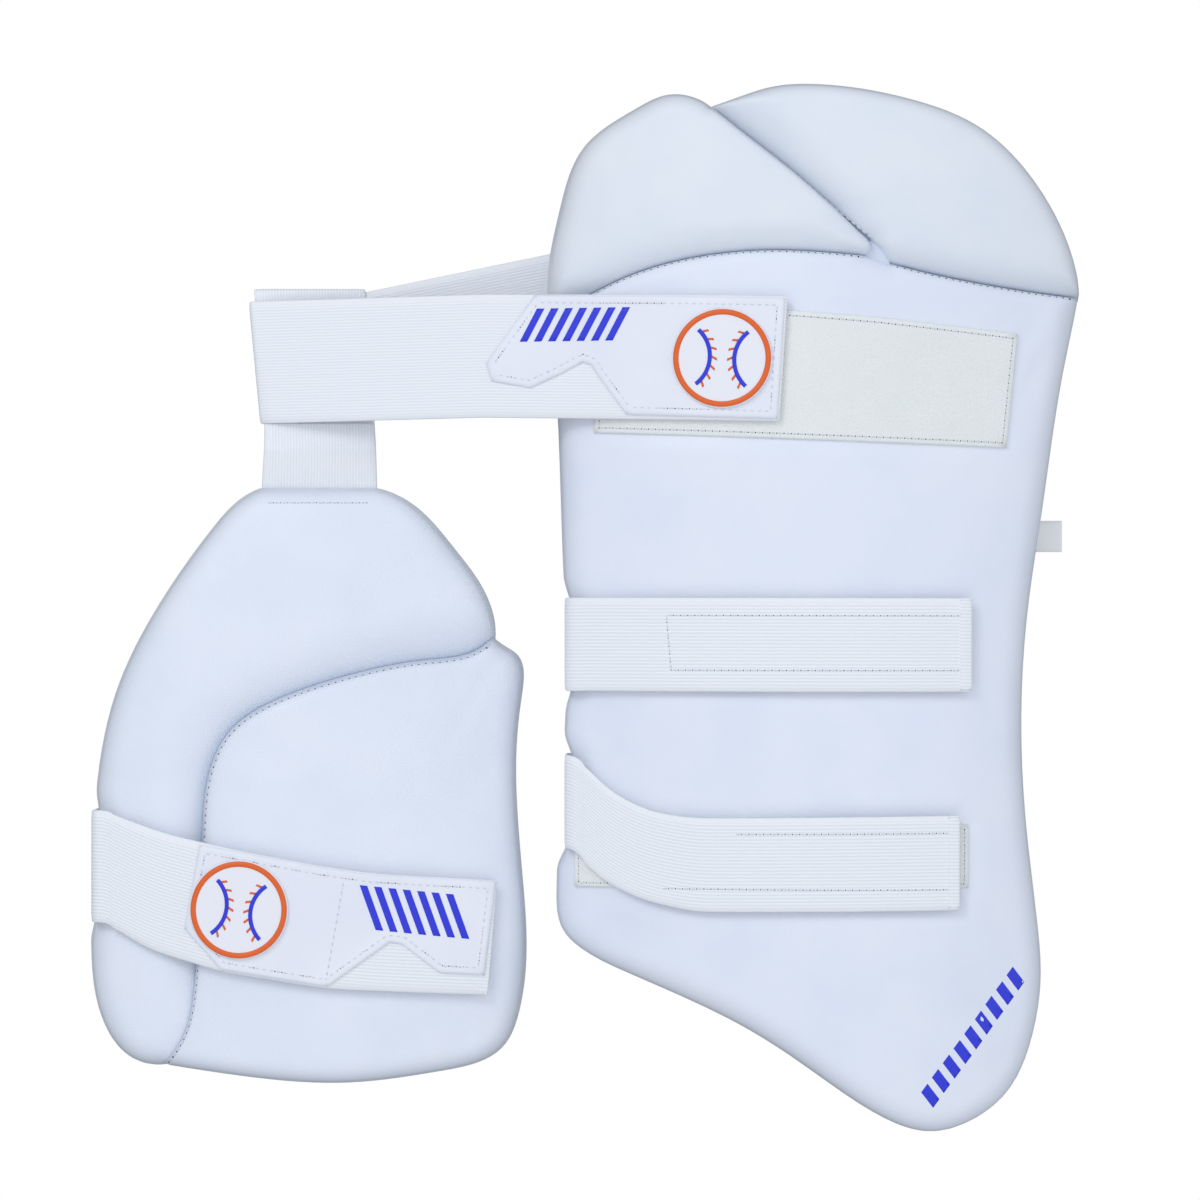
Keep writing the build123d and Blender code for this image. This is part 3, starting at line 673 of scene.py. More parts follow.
def cell(
    name, loop, others, pad, height, free_round, seam_round, crown, seed, body, material, nodes,
    wall_bulge=1.2, shade=0.25,
):
    """A stuffed cell: rounded shoulders, a deep valley at its seams, a crowned face, a bulging side and
    painted shade along its seams.
    """
    if not name.startswith("hip"):
        loop = bitten(spaced(loop, 2.0), "outer" if pad is OUTER else "inner")
    fine = spaced(loop, 2.0)
    free, seam = split_edges(loop, others)

    def floor_z(x, y):
        return arch(pad, x, y, LINING)

    def shape(x, y):
        points = np.stack([x, y], 1)
        df, ds = free(points), seam(points)
        fall = (rounded(df, *free_round) ** 3 + rounded(ds, *seam_round(points)) ** 3) ** (1 / 3)
        near = np.minimum(df, ds)
        rise = crown * (1 - np.exp(-near / 22.0))
        rise = rise + 0.25 * ripple(x, y, 31.0, seed) * np.clip(near / 14.0, 0, 1)
        return arch(pad, x, y, height) - 0.5 - fall + rise * (1 - covered(x, y)), near, ds

    swollen = None
    swollen = swelling(name, loop, floor_z, lambda x, y: shape(x, y)[0])

    def top(x, y):
        z, near, _ = shape(x, y)
        if swollen:
            rise = sampled(*swollen, x, y)
            rise = np.clip(rise, -0.6, 1.4) * np.clip(near / 5.0, 0, 1) * (1 - covered(x, y))
            z = z + rise
        return z

    made = closed_form(
        name, fine, top, floor_z, 2.6, [0.35, 0.9, 1.7, 2.8, 4.2, 6.0, 8.2], 6, bulge=wall_bulge, tuck=1.0
    )
    co = np.array([v.co for v in made.data.vertices]) * 1000
    ds = seam(co[:, :2])
    # Painted shade for the leather's crease mix: darkest within 1.8 mm of a seam, plus a wider band of shade,
    # scaled by shade, fading over about 6 mm.
    attribute(made, "crease", np.clip(1 - ds / 1.8, 0, 1) ** 2 + shade * np.exp(-ds / 6.0))
    finish_piece(made, body, material, "pu_leather", *nodes)
    return made


def steady(width, drop):
    return lambda points: (width, drop)


def away_from_crease(near_crease, near_seam):
    """A hip cell's shoulder: one width and drop beside the diagonal crease, another at the main seam."""

    def shoulder(points):
        up = np.clip((points[:, 1] - 156.0) / 10.0, 0, 1)
        deep = 0.75 + 0.25 * np.clip((points[:, 1] - 156.0) / 50.0, 0, 1)
        return tuple(b + (a * deep - b) * up for a, b in zip(near_crease, near_seam))

    return shoulder


def fading(width, drop):
    """The inner pad's valley, which runs out towards the toe."""
    def shoulder(points):
        keep = np.clip((points[:, 1] + 184.0) / 60.0, 0.22, 1)
        return width * (0.5 + 0.5 * keep), drop * keep

    return shoulder


outer_main = cell(
    "outer_main_pad", MAIN, [HIP_LEFT, HIP_RIGHT], OUTER, MAIN_TOP, (10.0, 8.5), steady(5.0, 4.5),
    0.5, 0.4, "outer_pad", WHITE_LEATHER, ["outer_main_cover", "outer_main_foam", "outer_shield_sheet"],
    wall_bulge=0.8, shade=0.0,
)
hip_left = cell(
    "hip_left_pad", HIP_LEFT, [MAIN, HIP_RIGHT], OUTER, HIP_TOP, (8.0, 8.0),
    away_from_crease((5.0, 4.0), (15.0, 9.5)), 1.0, 1.9,
    "outer_pad", HIP_LEATHER, ["hip_left_cover", "hip_left_foam"],
)
hip_right = cell(
    "hip_right_pad", HIP_RIGHT, [MAIN, HIP_LEFT], OUTER, HIP_TOP, (6.5, 6.5),
    away_from_crease((20.0, 16.0), (13.0, 9.5)), 1.0, 3.1,
    "outer_pad", HIP_LEATHER, ["hip_right_cover", "hip_right_foam"], shade=0.6,
)
inner_main = cell(
    "inner_main_pad", INNER_MAIN, [BOLSTER], INNER, INNER_TOP, (8.0, 7.0), fading(5.0, 4.0), 0.6, 4.4,
    "inner_pad", NET_LEATHER, ["inner_main_cover", "inner_main_foam", "inner_shield_sheet"],
)
bolster = cell(
    "inner_bolster_pad", BOLSTER, [INNER_MAIN], INNER, INNER_TOP, (10.0, 8.5), fading(22.0, 12.0),
    0.8, 5.2, "inner_pad", NET_LEATHER, ["inner_bolster_cover", "inner_bolster_foam"],
)

# ------------------------------------------------------------------ linings
for name, pad, body in (("outer_lining", OUTER, "outer_pad"), ("inner_lining", INNER, "inner_pad")):
    loop = bitten(spaced(outline(name), 3.0), "outer" if pad is OUTER else "inner")
    sewn = closed_form(
        name + "_cloth", loop,
        lambda x, y, pad=pad: arch(pad, x, y, LINING - 0.02),
        lambda x, y, pad=pad: arch(pad, x, y, 0.0),
        6.0, [1.5], 4, bulge=0.5,
    )
    finish_piece(sewn, body, TOWEL, "lining_cloth", name)

# ------------------------------------------------------------------ loop panels and hook tapes
for name, surface, base, body in (
    ("waist_loop_panel", outer, MAIN_TOP, "outer_pad"),
    ("upper_loop_strip", outer, MAIN_TOP, "outer_pad"),
    ("lower_loop_strip", outer, MAIN_TOP, "outer_pad"),
    ("inner_loop_strip", inner, INNER_TOP, "inner_pad"),
):
    made = tape(name + "_pile", outline(name), surface, base - 0.6, base + LOOP, edge=0.6)
    finish_piece(made, body, LOOP_PILE, "loop_pile", name)

for name, surface, base, body in (
    ("waist_tab_hook", over, MAIN_TOP, "waist_tab"),
    ("upper_strap_hook", outer, MAIN_TOP, "upper_strap"),
    ("lower_strap_hook", outer, MAIN_TOP, "lower_strap"),
    ("inner_strap_hook", inner, INNER_TOP, "inner_strap"),
):
    made = tape(name + "_tape", outline(name), surface, base + HOOK_LOW, base + WEB_LOW, edge=0.4)
    finish_piece(made, body, HOOK_TAPE, "hook_tape", name)


# ------------------------------------------------------------------ ribbons
def ribbon(name, rows, thickness, closed=False):
    """A woven band through rows of points across it, with rounded sides. Rows run along the band."""
    rows = np.asarray(rows, float)
    if closed:
        along = np.roll(rows, -1, 0) - np.roll(rows, 1, 0)
    else:
        along = np.gradient(rows, axis=0)
    across = np.gradient(rows, axis=1)
    up = np.cross(along, across)
    up /= np.maximum(np.linalg.norm(up, axis=2), 1e-9)[:, :, None]
    side = across / np.maximum(np.linalg.norm(across, axis=2), 1e-9)[:, :, None]
    half = np.full(rows.shape[1], thickness / 2)
    half[[0, -1]] *= 0.7
    top = rows + up * half[None, :, None]
    low = rows - up * half[None, :, None]
    first = rows[:, :1] - side[:, :1] * thickness * 0.22
    last = rows[:, -1:] + side[:, -1:] * thickness * 0.22
    rings = np.concatenate([first, top, last, low[:, ::-1]], 1)
    count, size = rings.shape[:2]
    faces = []
    for i in range(count if closed else count - 1):
        a, b = i * size, ((i + 1) % count) * size
        for k in range(size):
            j = (k + 1) % size
            faces.append((a + k, a + j, b + j, b + k))
    caps = [] if closed else [rings[0], rings[-1]]
    middle = rows.mean(1)
    u = np.concatenate([[0], np.cumsum(np.linalg.norm(np.diff(middle, axis=0), axis=1))])
    v = np.concatenate([
        np.zeros((count, 1)), np.cumsum(np.linalg.norm(np.diff(rows, axis=1), axis=2), axis=1)
    ], 1)
    width = v[:, -1:]
    v = v - width / 2
    v_ring = np.concatenate([v[:, :1], v, v[:, -1:], v[:, ::-1]], 1)
    uv = np.stack([np.repeat(u[:, None], size, 1), v_ring], 2).reshape(-1, 2)
    verts = rings.reshape(-1, 3)
    near = (width / 2 - np.abs(v_ring)).reshape(-1)
    for k, cap in enumerate(caps):
        faces.append(tuple(range(len(verts), len(verts) + size)))
        verts = np.concatenate([verts, cap])
        ring_uv = uv[:size] if k == 0 else uv[(count - 1) * size:count * size]
        uv = np.concatenate([uv, ring_uv])
        near = np.concatenate([near, near[:size]])
    made = mesh_object(name, verts, faces, uv)
    bm = bmesh.new()
    bm.from_mesh(made.data)
    bmesh.ops.recalc_face_normals(bm, faces=bm.faces)
    bm.to_mesh(made.data)
    bm.free()
    attribute(made, "selvedge", np.clip(1.3 - near / 1.5, 0, 1))
    return made


def line_points(points, count):
    """count points spread evenly along a line of points."""
    points = np.asarray(points, float)
    length = np.concatenate([[0], np.cumsum(np.linalg.norm(np.diff(points, axis=0), axis=1))])
    at = np.linspace(0, length[-1], count)
    return np.stack([np.interp(at, length, points[:, k]) for k in range(points.shape[1])], 1)


def eased(values, window):
    """Values smoothed along a run, with the ends kept."""
    kernel = np.hanning(window + 2)[1:-1]
    kernel /= kernel.sum()
    padding = window // 2
    wide = np.concatenate([
        2 * values[:1] - values[1:padding + 1][::-1], values, 2 * values[-1:] - values[-padding - 1:-1][::-1]
    ])
    return np.convolve(wide, kernel, "valid")[: len(values)]


def spans(loop, xs, upper):
    """The upper or lower edge of an outline at each x."""
    made = []
    a, b = loop, np.roll(loop, -1, 0)
    for x in np.clip(xs, loop[:, 0].min() + 0.02, loop[:, 0].max() - 0.02):
        hit = (a[:, 0] - x) * (b[:, 0] - x) <= 0
        hit &= a[:, 0] != b[:, 0]
        ys = a[hit, 1] + (x - a[hit, 0]) / (b[hit, 0] - a[hit, 0]) * (b[hit, 1] - a[hit, 1])
        made.append(ys.max() if upper else ys.min())
    return np.array(made)


def bent(points, radii, step=0.6):
    """A plane line through points with its corners rounded."""
    points = [np.array(p, float) for p in points]
    made = [points[0]]
    for p, q, r, radius in zip(points, points[1:], points[2:], radii):
        a, b = (p - q) / np.linalg.norm(p - q), (r - q) / np.linalg.norm(r - q)
        half = math.acos(np.clip(a @ b, -1, 1)) / 2
        back = radius / math.tan(half)
        centre = q + (a + b) / np.linalg.norm(a + b) * radius / math.sin(half)
        begin, end = q + a * back - centre, q + b * back - centre
        turn = math.pi - 2 * half
        steps = max(4, round(radius * turn / step))
        sense = 1 if begin[0] * end[1] - begin[1] * end[0] > 0 else -1
        for k in range(steps + 1):
            t = sense * turn * k / steps
            c, s = math.cos(t), math.sin(t)
            made.append(centre + np.array([begin[0] * c - begin[1] * s, begin[0] * s + begin[1] * c]))
    made.append(points[-1])
    return np.array(made)


def thigh_strap(strap, pad, height, hinge_x, edge_x, bend, sewn, edges, ends, smooth, pad_body, rise):
    """One continuous elastic: its stuck-down front run, round the pad's side, and behind to the lining."""
    front, back = strap + "_front", strap + "_back"
    loop = outline(front)
    web = height + WEB_LOW + WEB / 2
    count = 90
    xu = np.linspace(ends[1], hinge_x + 0.3, count)
    xl = np.linspace(ends[0], hinge_x + 0.3, count)
    yu, yl = spans(loop, xu - 1e-4, True), spans(loop, xl - 1e-4, False)
    start_x = hinge_x - 0.3 - pad["x"]
    start_y = math.sqrt((pad["radius"] + web) ** 2 - start_x**2) - pad["radius"]
    slope = -start_x / (start_y + pad["radius"])
    beside = edge_x - 1.2 - pad["x"]
    corner_y = start_y - slope * (start_x - beside)
    under = math.sqrt(pad["radius"] ** 2 - (edge_x - pad["x"]) ** 2) - pad["radius"] - 1.4
    behind = [x - pad["x"] for x in sewn]
    tail = [(x, math.sqrt(pad["radius"] ** 2 - x**2) - pad["radius"] - 1.05) for x in behind]
    path = bent([(start_x, start_y), (beside, corner_y), (beside, under), *tail], [bend, 1.5, 8.0])
    path = line_points(path, 190)
    yu = eased(np.concatenate([yu, np.full(len(path), edges[1])]), smooth)
    yl = eased(np.concatenate([yl, np.full(len(path), edges[0])]), smooth)
    across = np.linspace(0, 1, 15)
    rows = []
    for k in range(len(yu)):
        y = yl[k] + (yu[k] - yl[k]) * across
        if k < count:
            x = xl[k] + (xu[k] - xl[k]) * across
            z = arch(pad, x, y, web)
        else:
            px, pz = path[k - count]
            x = np.full(len(y), px + pad["x"])
            z = pad["crown"] + (y - pad["seam_y"]) * pad["dip"] + pz
        rows.append(np.stack([x, y, z], 1))
    made = ribbon(strap + "_elastic", rows, WEB)
    z0, z1 = rise
    finish_piece(made, (pad_body, strap, (0, 0, z0), (0, 0, z1)), ELASTIC, "elastic", front, back)


thigh_strap(
    "upper_strap", OUTER, MAIN_TOP, 0.0, -5.9, 6.5, (158.0, 178.0), (-32.6, 5.4), (159.6, 159.6), 5,
    "outer_pad", (28, 41),
)
thigh_strap(
    "lower_strap", OUTER, MAIN_TOP, 0.0, -6.0, 6.5, (158.0, 178.0), (-98.0, -60.0), (154.6, 154.6), 15,
    "outer_pad", (27, 40),
)
thigh_strap(
    "inner_strap", INNER, INNER_TOP, -196.0, -203.2, 4.0, (-54.0, -34.0), (-129.0, -83.0), (-40.5, -36.6), 13,
    "inner_pad", (20, 33),
)

for name, corners, surface, base, body, direction, lift in (
    ("upper_hem", [(155.0, -32.6), (160.0, -32.6), (160.0, 5.1), (155.0, 5.3)],
     outer, MAIN_TOP, "upper_strap", (1, 0), 0.55),
    ("lower_hem", [(150.0, -122.6), (155.0, -122.6), (155.0, -84.5), (150.0, -84.6)],
     outer, MAIN_TOP, "lower_strap", (1, 0), 0.55),
    ("inner_hem", [(-45.2, -158.6), (-39.9, -158.9), (-36.1, -112.4), (-41.2, -112.0)],
     inner, INNER_TOP, "inner_strap", (1, -0.1), -0.1),
    ("waist_hem", [(75.2, 78.9), (80.3, 78.8), (83.6, 128.7), (78.4, 128.8)],
     over, MAIN_TOP, "waist_tab", (1, -0.02), -0.1),
):
    made = tape(
        name, np.array(corners), surface, base + WEB_LOW - 0.1, base + OVERLAY_LOW + lift,
        step=2.0, edge=0.5, uv=along_line(direction),
    )
    finish_piece(made, body, ELASTIC, "elastic")

# The belt: its back run, then a fold at the left and the front run, then the tab that sticks down.
FOLD_TOP, FOLD_FOOT = np.array([-138.45, 130.2]), np.array([-133.65, 79.5])
FOLD_MIDDLE, FOLD_Z, BACK_Z = 1.95, 4.25, 2.3
across = np.linspace(0, 1, 17)


def between(lower, upper, z):
    """Rows across a band from its lower and upper edge points. z is a number or a function of x and y."""
    rows = []
    for a, b in zip(lower, upper):
        p = a + (b - a) * across[:, None]
        height = z(p[:, 0], p[:, 1]) if callable(z) else np.full(len(p), float(z))
        rows.append(np.column_stack([p, height]))
    return rows


upper_back = line_points([FOLD_TOP, (-95.4, 133.5), (-9.0, 151.4), (40.0, 161.6)], 80)
lower_back = line_points([FOLD_FOOT, (-91.0, 82.6), (-2.0, 100.2), (48.0, 110.6)], 80)


def behind_pad(x, y):
    return np.maximum(BACK_Z, arch(OUTER, x, y, -WEB / 2 - 0.05))


made = ribbon("belt_back_elastic", between(lower_back[9:], upper_back[9:], behind_pad), WEB)
finish_piece(made, "outer_pad", BELT_ELASTIC, "elastic", "waist_belt_back")

fold_along = (FOLD_TOP - FOLD_FOOT) / np.linalg.norm(FOLD_TOP - FOLD_FOOT)
fold_out = np.array([-fold_along[1], fold_along[0]])
rows = between(lower_back[11::-1], upper_back[11::-1], BACK_Z)
for k in range(1, 12):
    t = -math.pi / 2 + math.pi * k / 12
    away = fold_out * FOLD_MIDDLE * math.cos(t)
    rows += between([FOLD_FOOT + away], [FOLD_TOP + away], FOLD_Z + FOLD_MIDDLE * math.sin(t))
tab_loop, front_loop = outline("waist_tab_web"), outline("waist_belt_front")
web = MAIN_TOP + WEB_LOW + WEB / 2
TAB_SPLIT = -50.0
xu, xl = np.linspace(FOLD_TOP[0] + 0.6, TAB_SPLIT, 45), np.linspace(FOLD_FOOT[0] + 0.6, TAB_SPLIT, 45)
rows += between(
    np.stack([xl, spans(front_loop, xl, False)], 1), np.stack([xu, spans(front_loop, xu, True)], 1), over(web)
)
made = ribbon("belt_front_elastic", rows, WEB)
turning = ("outer_pad", "belt_front", (0, 0, 6.0), (0, 0, 10.5))
finish_piece(made, turning, BELT_ELASTIC, "elastic", "waist_belt_front")

xu = np.linspace(TAB_SPLIT, 83.25, 70)
xl = np.linspace(TAB_SPLIT, 79.95, 70)


def tab_edge(xs, upper):
    """An edge of the tab: the belt's own outline up to the joint, then the tab's."""
    before, after = np.minimum(xs, -42.01), np.maximum(xs, -41.69)
    return np.where(xs < -41.8, spans(front_loop, before, upper), spans(tab_loop, after, upper))


lower_tab, upper_tab = np.stack([xl, tab_edge(xl, False)], 1), np.stack([xu, tab_edge(xu, True)], 1)
made = ribbon("waist_tab_elastic", between(lower_tab, upper_tab, over(web)), WEB)
turning = ("belt_front", "waist_tab", (TAB_SPLIT, 0, 0), (-34, 0, 0))
finish_piece(made, turning, BELT_ELASTIC, "elastic", "waist_tab_web")


# The hanger: a sewn tunnel round the belt's back run, and a tail that goes under the inner pad.
def hanger_rows(path):
    rows = []
    for y, z in path:
        left = np.interp(y, [24, 50.7, 79.5, 140], [-134.4, -134.5, -134.2, -139.2])
        right = np.interp(y, [24, 50.7, 79.5, 140], [-87.0, -86.9, -88.7, -92.9])
        x = left + (right - left) * across
        rows.append(np.stack([x, np.full(len(x), y), np.full(len(x), z)], 1))
    return rows


tunnel_corners = [(74, 0.6), (135.4, 0.6), (135.4, 4.1), (70.0, 4.1), (70.0, 0.7), (73.4, 0.62)]
tunnel = bent(tunnel_corners, [1.4, 1.4, 1.4, 0.9])
made = ribbon("hanger_tunnel", hanger_rows(line_points(tunnel, 150)), 1.15)
finish_piece(made, "hanger", BELT_ELASTIC, "elastic", "hanger_strap")
tail = [(y, INNER["crown"] - 230.0 + 229.0 - 0.1) for y in np.linspace(49.0, 24.0, 22)]
riser = bent([(79.0, 5.2), (69.0, 5.4), (53.5, 17.3), (49.5, 17.6)], [8.0, 6.0])
rows = hanger_rows(line_points(riser, 34))
for y, _ in tail[1:]:
    x = np.linspace(-134.4, -87.0, len(across))
    rows.append(np.stack([x, np.full(len(x), y), arch(INNER, x, np.full(len(x), y), -1.0)], 1))
made = ribbon("hanger_tail", rows, 1.9)
turning = ("hanger", "inner_pad", (0, 56, 0), (0, 48, 0))
finish_piece(made, turning, BELT_ELASTIC, "elastic", "hanger_sewn_end")

# A folded care label, held in the side seam. Its print is left out.
label_rows = []
label_fold = bent([(187.2, 10.8), (200.7, 10.75), (200.7, 10.25), (187.2, 10.2)], [0.22, 0.22], 0.1)
for x, z in line_points(label_fold, 60):
    y = np.linspace(25.0, 38.0, 7)
    label_rows.append(np.stack([np.full(7, x), y, np.full(7, z) + 0.25 * np.sin((x - 187) / 5.0)], 1))
made = ribbon("care_label_cloth", label_rows, 0.3)
turning = ("outer_pad", "care_label", (189.2, 0, 0), (192.6, 0, 0))
finish_piece(made, turning, LABEL_CLOTH, "label_cloth", "care_label")


def lip(x, y, d):
    """A raised edge and the groove of the stitch line beside it, on an overlay."""
    return 0.3 * np.exp(-(((d - 1.3) / 0.9) ** 2)) - 0.14 * np.exp(-(((d - 3.0) / 0.5) ** 2)) - 0.3


for node, surface, base, body in (
    ("waist_tab_overlay", over, MAIN_TOP, "waist_tab"),
    ("inner_strap_overlay", inner, INNER_TOP, "inner_strap"),
):
    made = tape(
        node + "_leather", outline(node), surface, base + OVERLAY_LOW, base + BADGE_LOW,
        step=2.0, edge=0.7, extra=lip,
    )
    finish_piece(made, body, TAB_LEATHER, "tab_leather", node)


# ------------------------------------------------------------------ badges, bars and other prints
def print_on(name, corners, surface, low, high, body, material, step=2.0):
    """A flat printed shape lying on a surface."""
    corners = np.array(corners, float)
    corners = corners if area(corners) > 0 else corners[::-1]
    made = tape(name, corners, surface, low, high, step=step, edge=0.08)
    finish_piece(made, body, material, "badge")


def ring_rows(centre, radius, width, surface, up, turns=(0, 360), count=120):
    """Rows of points across a ring, or across an arc of it, on a surface."""
    rows = []
    closed = turns[1] - turns[0] >= 360
    for k in range(count):
        t = math.radians(turns[0] + (turns[1] - turns[0]) * k / (count if closed else count - 1))
        row = []
        for w in np.linspace(width / 2, -width / 2, 4):
            x, y = centre[0] + (radius + w) * math.cos(t), centre[1] + (radius + w) * math.sin(t)
            row.append((x, y, float(surface(up)(np.array(x), np.array(y)))))
        rows.append(row)
    return rows


TICKS, BARS, DASHES = 7, 7, 9
SEAM_AWAY, SEAM_RADIUS = 19.5, 14.5
TICK_HALF, TICK_LEAN = 0.5, 0.5
for node, centre, surface, base, body, tilt in (
    ("waist_badge", (56.7, 104.0), over, MAIN_TOP, "waist_tab", -3.0),
    ("inner_badge", (-142.5, -123.1), inner, INNER_TOP, "inner_strap", -7.0),
):
    top = base + BADGE_LOW + BADGE
    made = tape(node + "_disc", outline(node), surface, base + BADGE_LOW - 0.3, top, step=1.2, edge=0.6)
    finish_piece(made, body, BADGE_WHITE, "badge", node)
    made = ribbon(node + "_ring", ring_rows(centre, 18.9, 1.9, surface, top + 0.1), 0.8, closed=True)
    finish_piece(made, body, ORANGE, "badge")
    c, s = math.cos(math.radians(tilt)), math.sin(math.radians(tilt))
    for side, word in ((-1, "left"), (1, "right")):
        away = (centre[0] + side * SEAM_AWAY * c, centre[1] + side * SEAM_AWAY * s)
        middle = 180 + tilt if side > 0 else tilt
        rows = ring_rows(away, SEAM_RADIUS, 1.5, surface, top + 0.05, (middle - 50, middle + 50), 40)
        finish_piece(ribbon(f"{node}_seam_{word}", rows, 0.5), body, BLUE, "badge")
        for k in range(TICKS):
            t = math.radians(middle - 42 + 14 * k)
            ux, uy = math.cos(t), math.sin(t)
            corners = []
            for r, w in ((15.4, -TICK_HALF), (17.4, -TICK_HALF), (17.4, TICK_HALF), (15.4, TICK_HALF)):
                q = w + (r - 16.0) * TICK_LEAN * side
                corners.append((away[0] + ux * r - uy * q, away[1] + uy * r + ux * q))
            print_on(
                f"{node}_tick_{word[0]}{k}", corners, surface, top - 0.1, top + 0.22, body, ORANGE, 1.0
            )

BAR_PITCH, BAR_WIDTH, BAR_LOW, BAR_HIGH = 5.9, 3.1, BADGE_LOW - 0.4, BADGE_LOW - 0.1
for k in range(BARS):
    x = -26.6 + BAR_PITCH * k
    corners = [(x, 111.8), (x + BAR_WIDTH, 111.8), (x + BAR_WIDTH + 7.2, 125.4), (x + 7.2, 125.4)]
    print_on(f"waist_bar_{k}", corners, over, MAIN_TOP + BAR_LOW, MAIN_TOP + BAR_HIGH, "waist_tab", BLUE)
for k in range(BARS):
    x = -92.6 + BAR_PITCH * k
    y = -113.0 - 0.11 * (x + 92.6)
    lean = 6.6
    corners = [
        (x + lean, y - 18.6), (x + lean + BAR_WIDTH, y - 18.6 - 0.3), (x + BAR_WIDTH, y - 0.3), (x, y),
    ]
    print_on(f"inner_bar_{k}", corners, inner, INNER_TOP + BAR_LOW, INNER_TOP + BAR_HIGH, "inner_strap", BLUE)


# ------------------------------------------------------------------ surfaces found by looking down
def looking_down(piece):
    """Height of a finished piece's upper surface at x, y, all in mm, at rest."""
    tree = BVHTree.FromObject(piece, bpy.context.evaluated_depsgraph_get())

    def z(x, y):
        x, y = np.atleast_1d(x), np.atleast_1d(y)
        made = []
        for px, py in zip(x.ravel(), y.ravel()):
            hit = tree.ray_cast(Vector((px * MM, py * MM, 0.2)), Vector((0, 0, -1)))[0]
            made.append(hit.z / MM if hit is not None else np.nan)
        made = np.array(made)
        if np.isnan(made).any() and not np.isnan(made).all():
            made[np.isnan(made)] = np.nanmin(made)
        return made.reshape(x.shape)

    return z


main_z = looking_down(outer_main)


def over_main(up):
    return lambda x, y: main_z(x, y) + up


dash_start, dash_end = np.array([140.5, -203.0]), np.array([181.0, -149.5])
length = np.linalg.norm(dash_end - dash_start)
run = (dash_end - dash_start) / length
beside = np.array([-run[1], run[0]])
for k in range(DASHES):
    at = dash_start + run * (length * k / DASHES + 0.8)
    up = beside * 4
    corners = [at - up, at + run * 4.4 - up, at + run * 6.6 + up, at + run * 2.2 + up]
    print_on(f"lobe_dash_{k}", corners, over_main, -0.25, 0.12, "outer_pad", BLUE)

# The little leather gusset where the three outer cells meet
gusset_corners = [(115.5, 146.0), (126.9, 142.4), (123.8, 149.8), (118.4, 154.6), (117.6, 150.0)]
gusset = spaced(np.array(gusset_corners), 1.0)
made = closed_form(
    "hip_gusset", gusset, lambda x, y: arch(OUTER, x, y, 17.5) + 0.1 * (x - 118.0),
    lambda x, y: arch(OUTER, x, y, LINING), 1.2, [0.4], 2,
)
# Painted shade: a steady crease value greys the whole gusset, for the shade in the hollow where the cells
# meet.
attribute(made, "crease", np.full(len(made.data.vertices), 0.45))
finish_piece(made, "outer_pad", WHITE_LEATHER, "pu_leather")


# ------------------------------------------------------------------ stitching
# Places along a stitch, as parts of its length, with its height in mm and its width as a part of the whole
STITCH = ((-0.5, -0.1, 0.35), (-0.3, 0.16, 0.9), (0.0, 0.24, 1.0), (0.3, 0.16, 0.9), (0.5, -0.1, 0.35))


def sewing(name, lines, body, z_of, pitch=2.9, thread=1.9, holes=True, size=0.3, slot="pu_leather"):
    """Stitches along lines of plan points: a raised thread over each gap, a dark disc of painted shade for
    the needle hole at each end.
    """
    verts, faces, dark_verts, dark_faces = [], [], [], []
    for line in lines:
        line = np.asarray(line, float)
        length = np.concatenate([[0], np.cumsum(np.hypot(*np.diff(line, axis=0).T))])
        count = max(1, int(length[-1] / pitch))
        at = np.linspace(pitch / 2, length[-1] - pitch / 2, count)
        xs, ys = np.interp(at, length, line[:, 0]), np.interp(at, length, line[:, 1])
        xa, ya = np.interp(at + 0.4, length, line[:, 0]), np.interp(at + 0.4, length, line[:, 1])
        xb, yb = np.interp(at - 0.4, length, line[:, 0]), np.interp(at - 0.4, length, line[:, 1])
        ux, uy = xa - xb, ya - yb
        far = np.maximum(np.hypot(ux, uy), 1e-6)
        ux, uy = ux / far, uy / far
        front = z_of(xs + ux * thread / 2, ys + uy * thread / 2)
        back = z_of(xs - ux * thread / 2, ys - uy * thread / 2)
        here = z_of(xs, ys)
        for i in range(count):
            base = len(verts)
            for f, lift, wide in STITCH:
                cx, cy = xs[i] + ux[i] * thread * f, ys[i] + uy[i] * thread * f
                cz = here[i] + (front[i] - back[i]) * f + lift * size / 0.3
                for a in range(6):
                    t = math.pi / 3 * a
                    w, h = math.cos(t) * size * wide, math.sin(t) * size * wide * 0.8
                    verts.append((cx - uy[i] * w, cy + ux[i] * w, cz + h))
            for r in range(base, base + 24, 6):
                for a in range(6):
                    b = (a + 1) % 6
                    faces.append((r + a, r + b, r + 6 + b, r + 6 + a))
            faces.append(tuple(base + a for a in reversed(range(6))))
            faces.append(tuple(base + 24 + a for a in range(6)))
            # Painted shade: a flat dark disc just above the surface at each needle hole, for the shade inside
            # it.
            if holes:
                hx, hy = xs[i] + ux[i] * pitch / 2, ys[i] + uy[i] * pitch / 2
                hz = here[i] + (front[i] - back[i]) * 0.5 * pitch / thread
                base = len(dark_verts)
                dark_verts.append((hx, hy, hz + 0.07))
                for a in range(7):
                    t = 2 * math.pi * a / 7
                    wide = size * 1.15
                    dark_verts.append((hx + math.cos(t) * wide, hy + math.sin(t) * wide, hz + 0.03))
                for a in range(7):
                    dark_faces.append((base, base + 1 + a, base + 1 + (a + 1) % 7))
    made = mesh_object(name + "_thread", verts, faces)
    finish_piece(made, body, THREAD, slot)
    if holes:
        made = mesh_object(name + "_holes", dark_verts, dark_faces)
        finish_piece(made, body, HOLE_SHADE, slot)


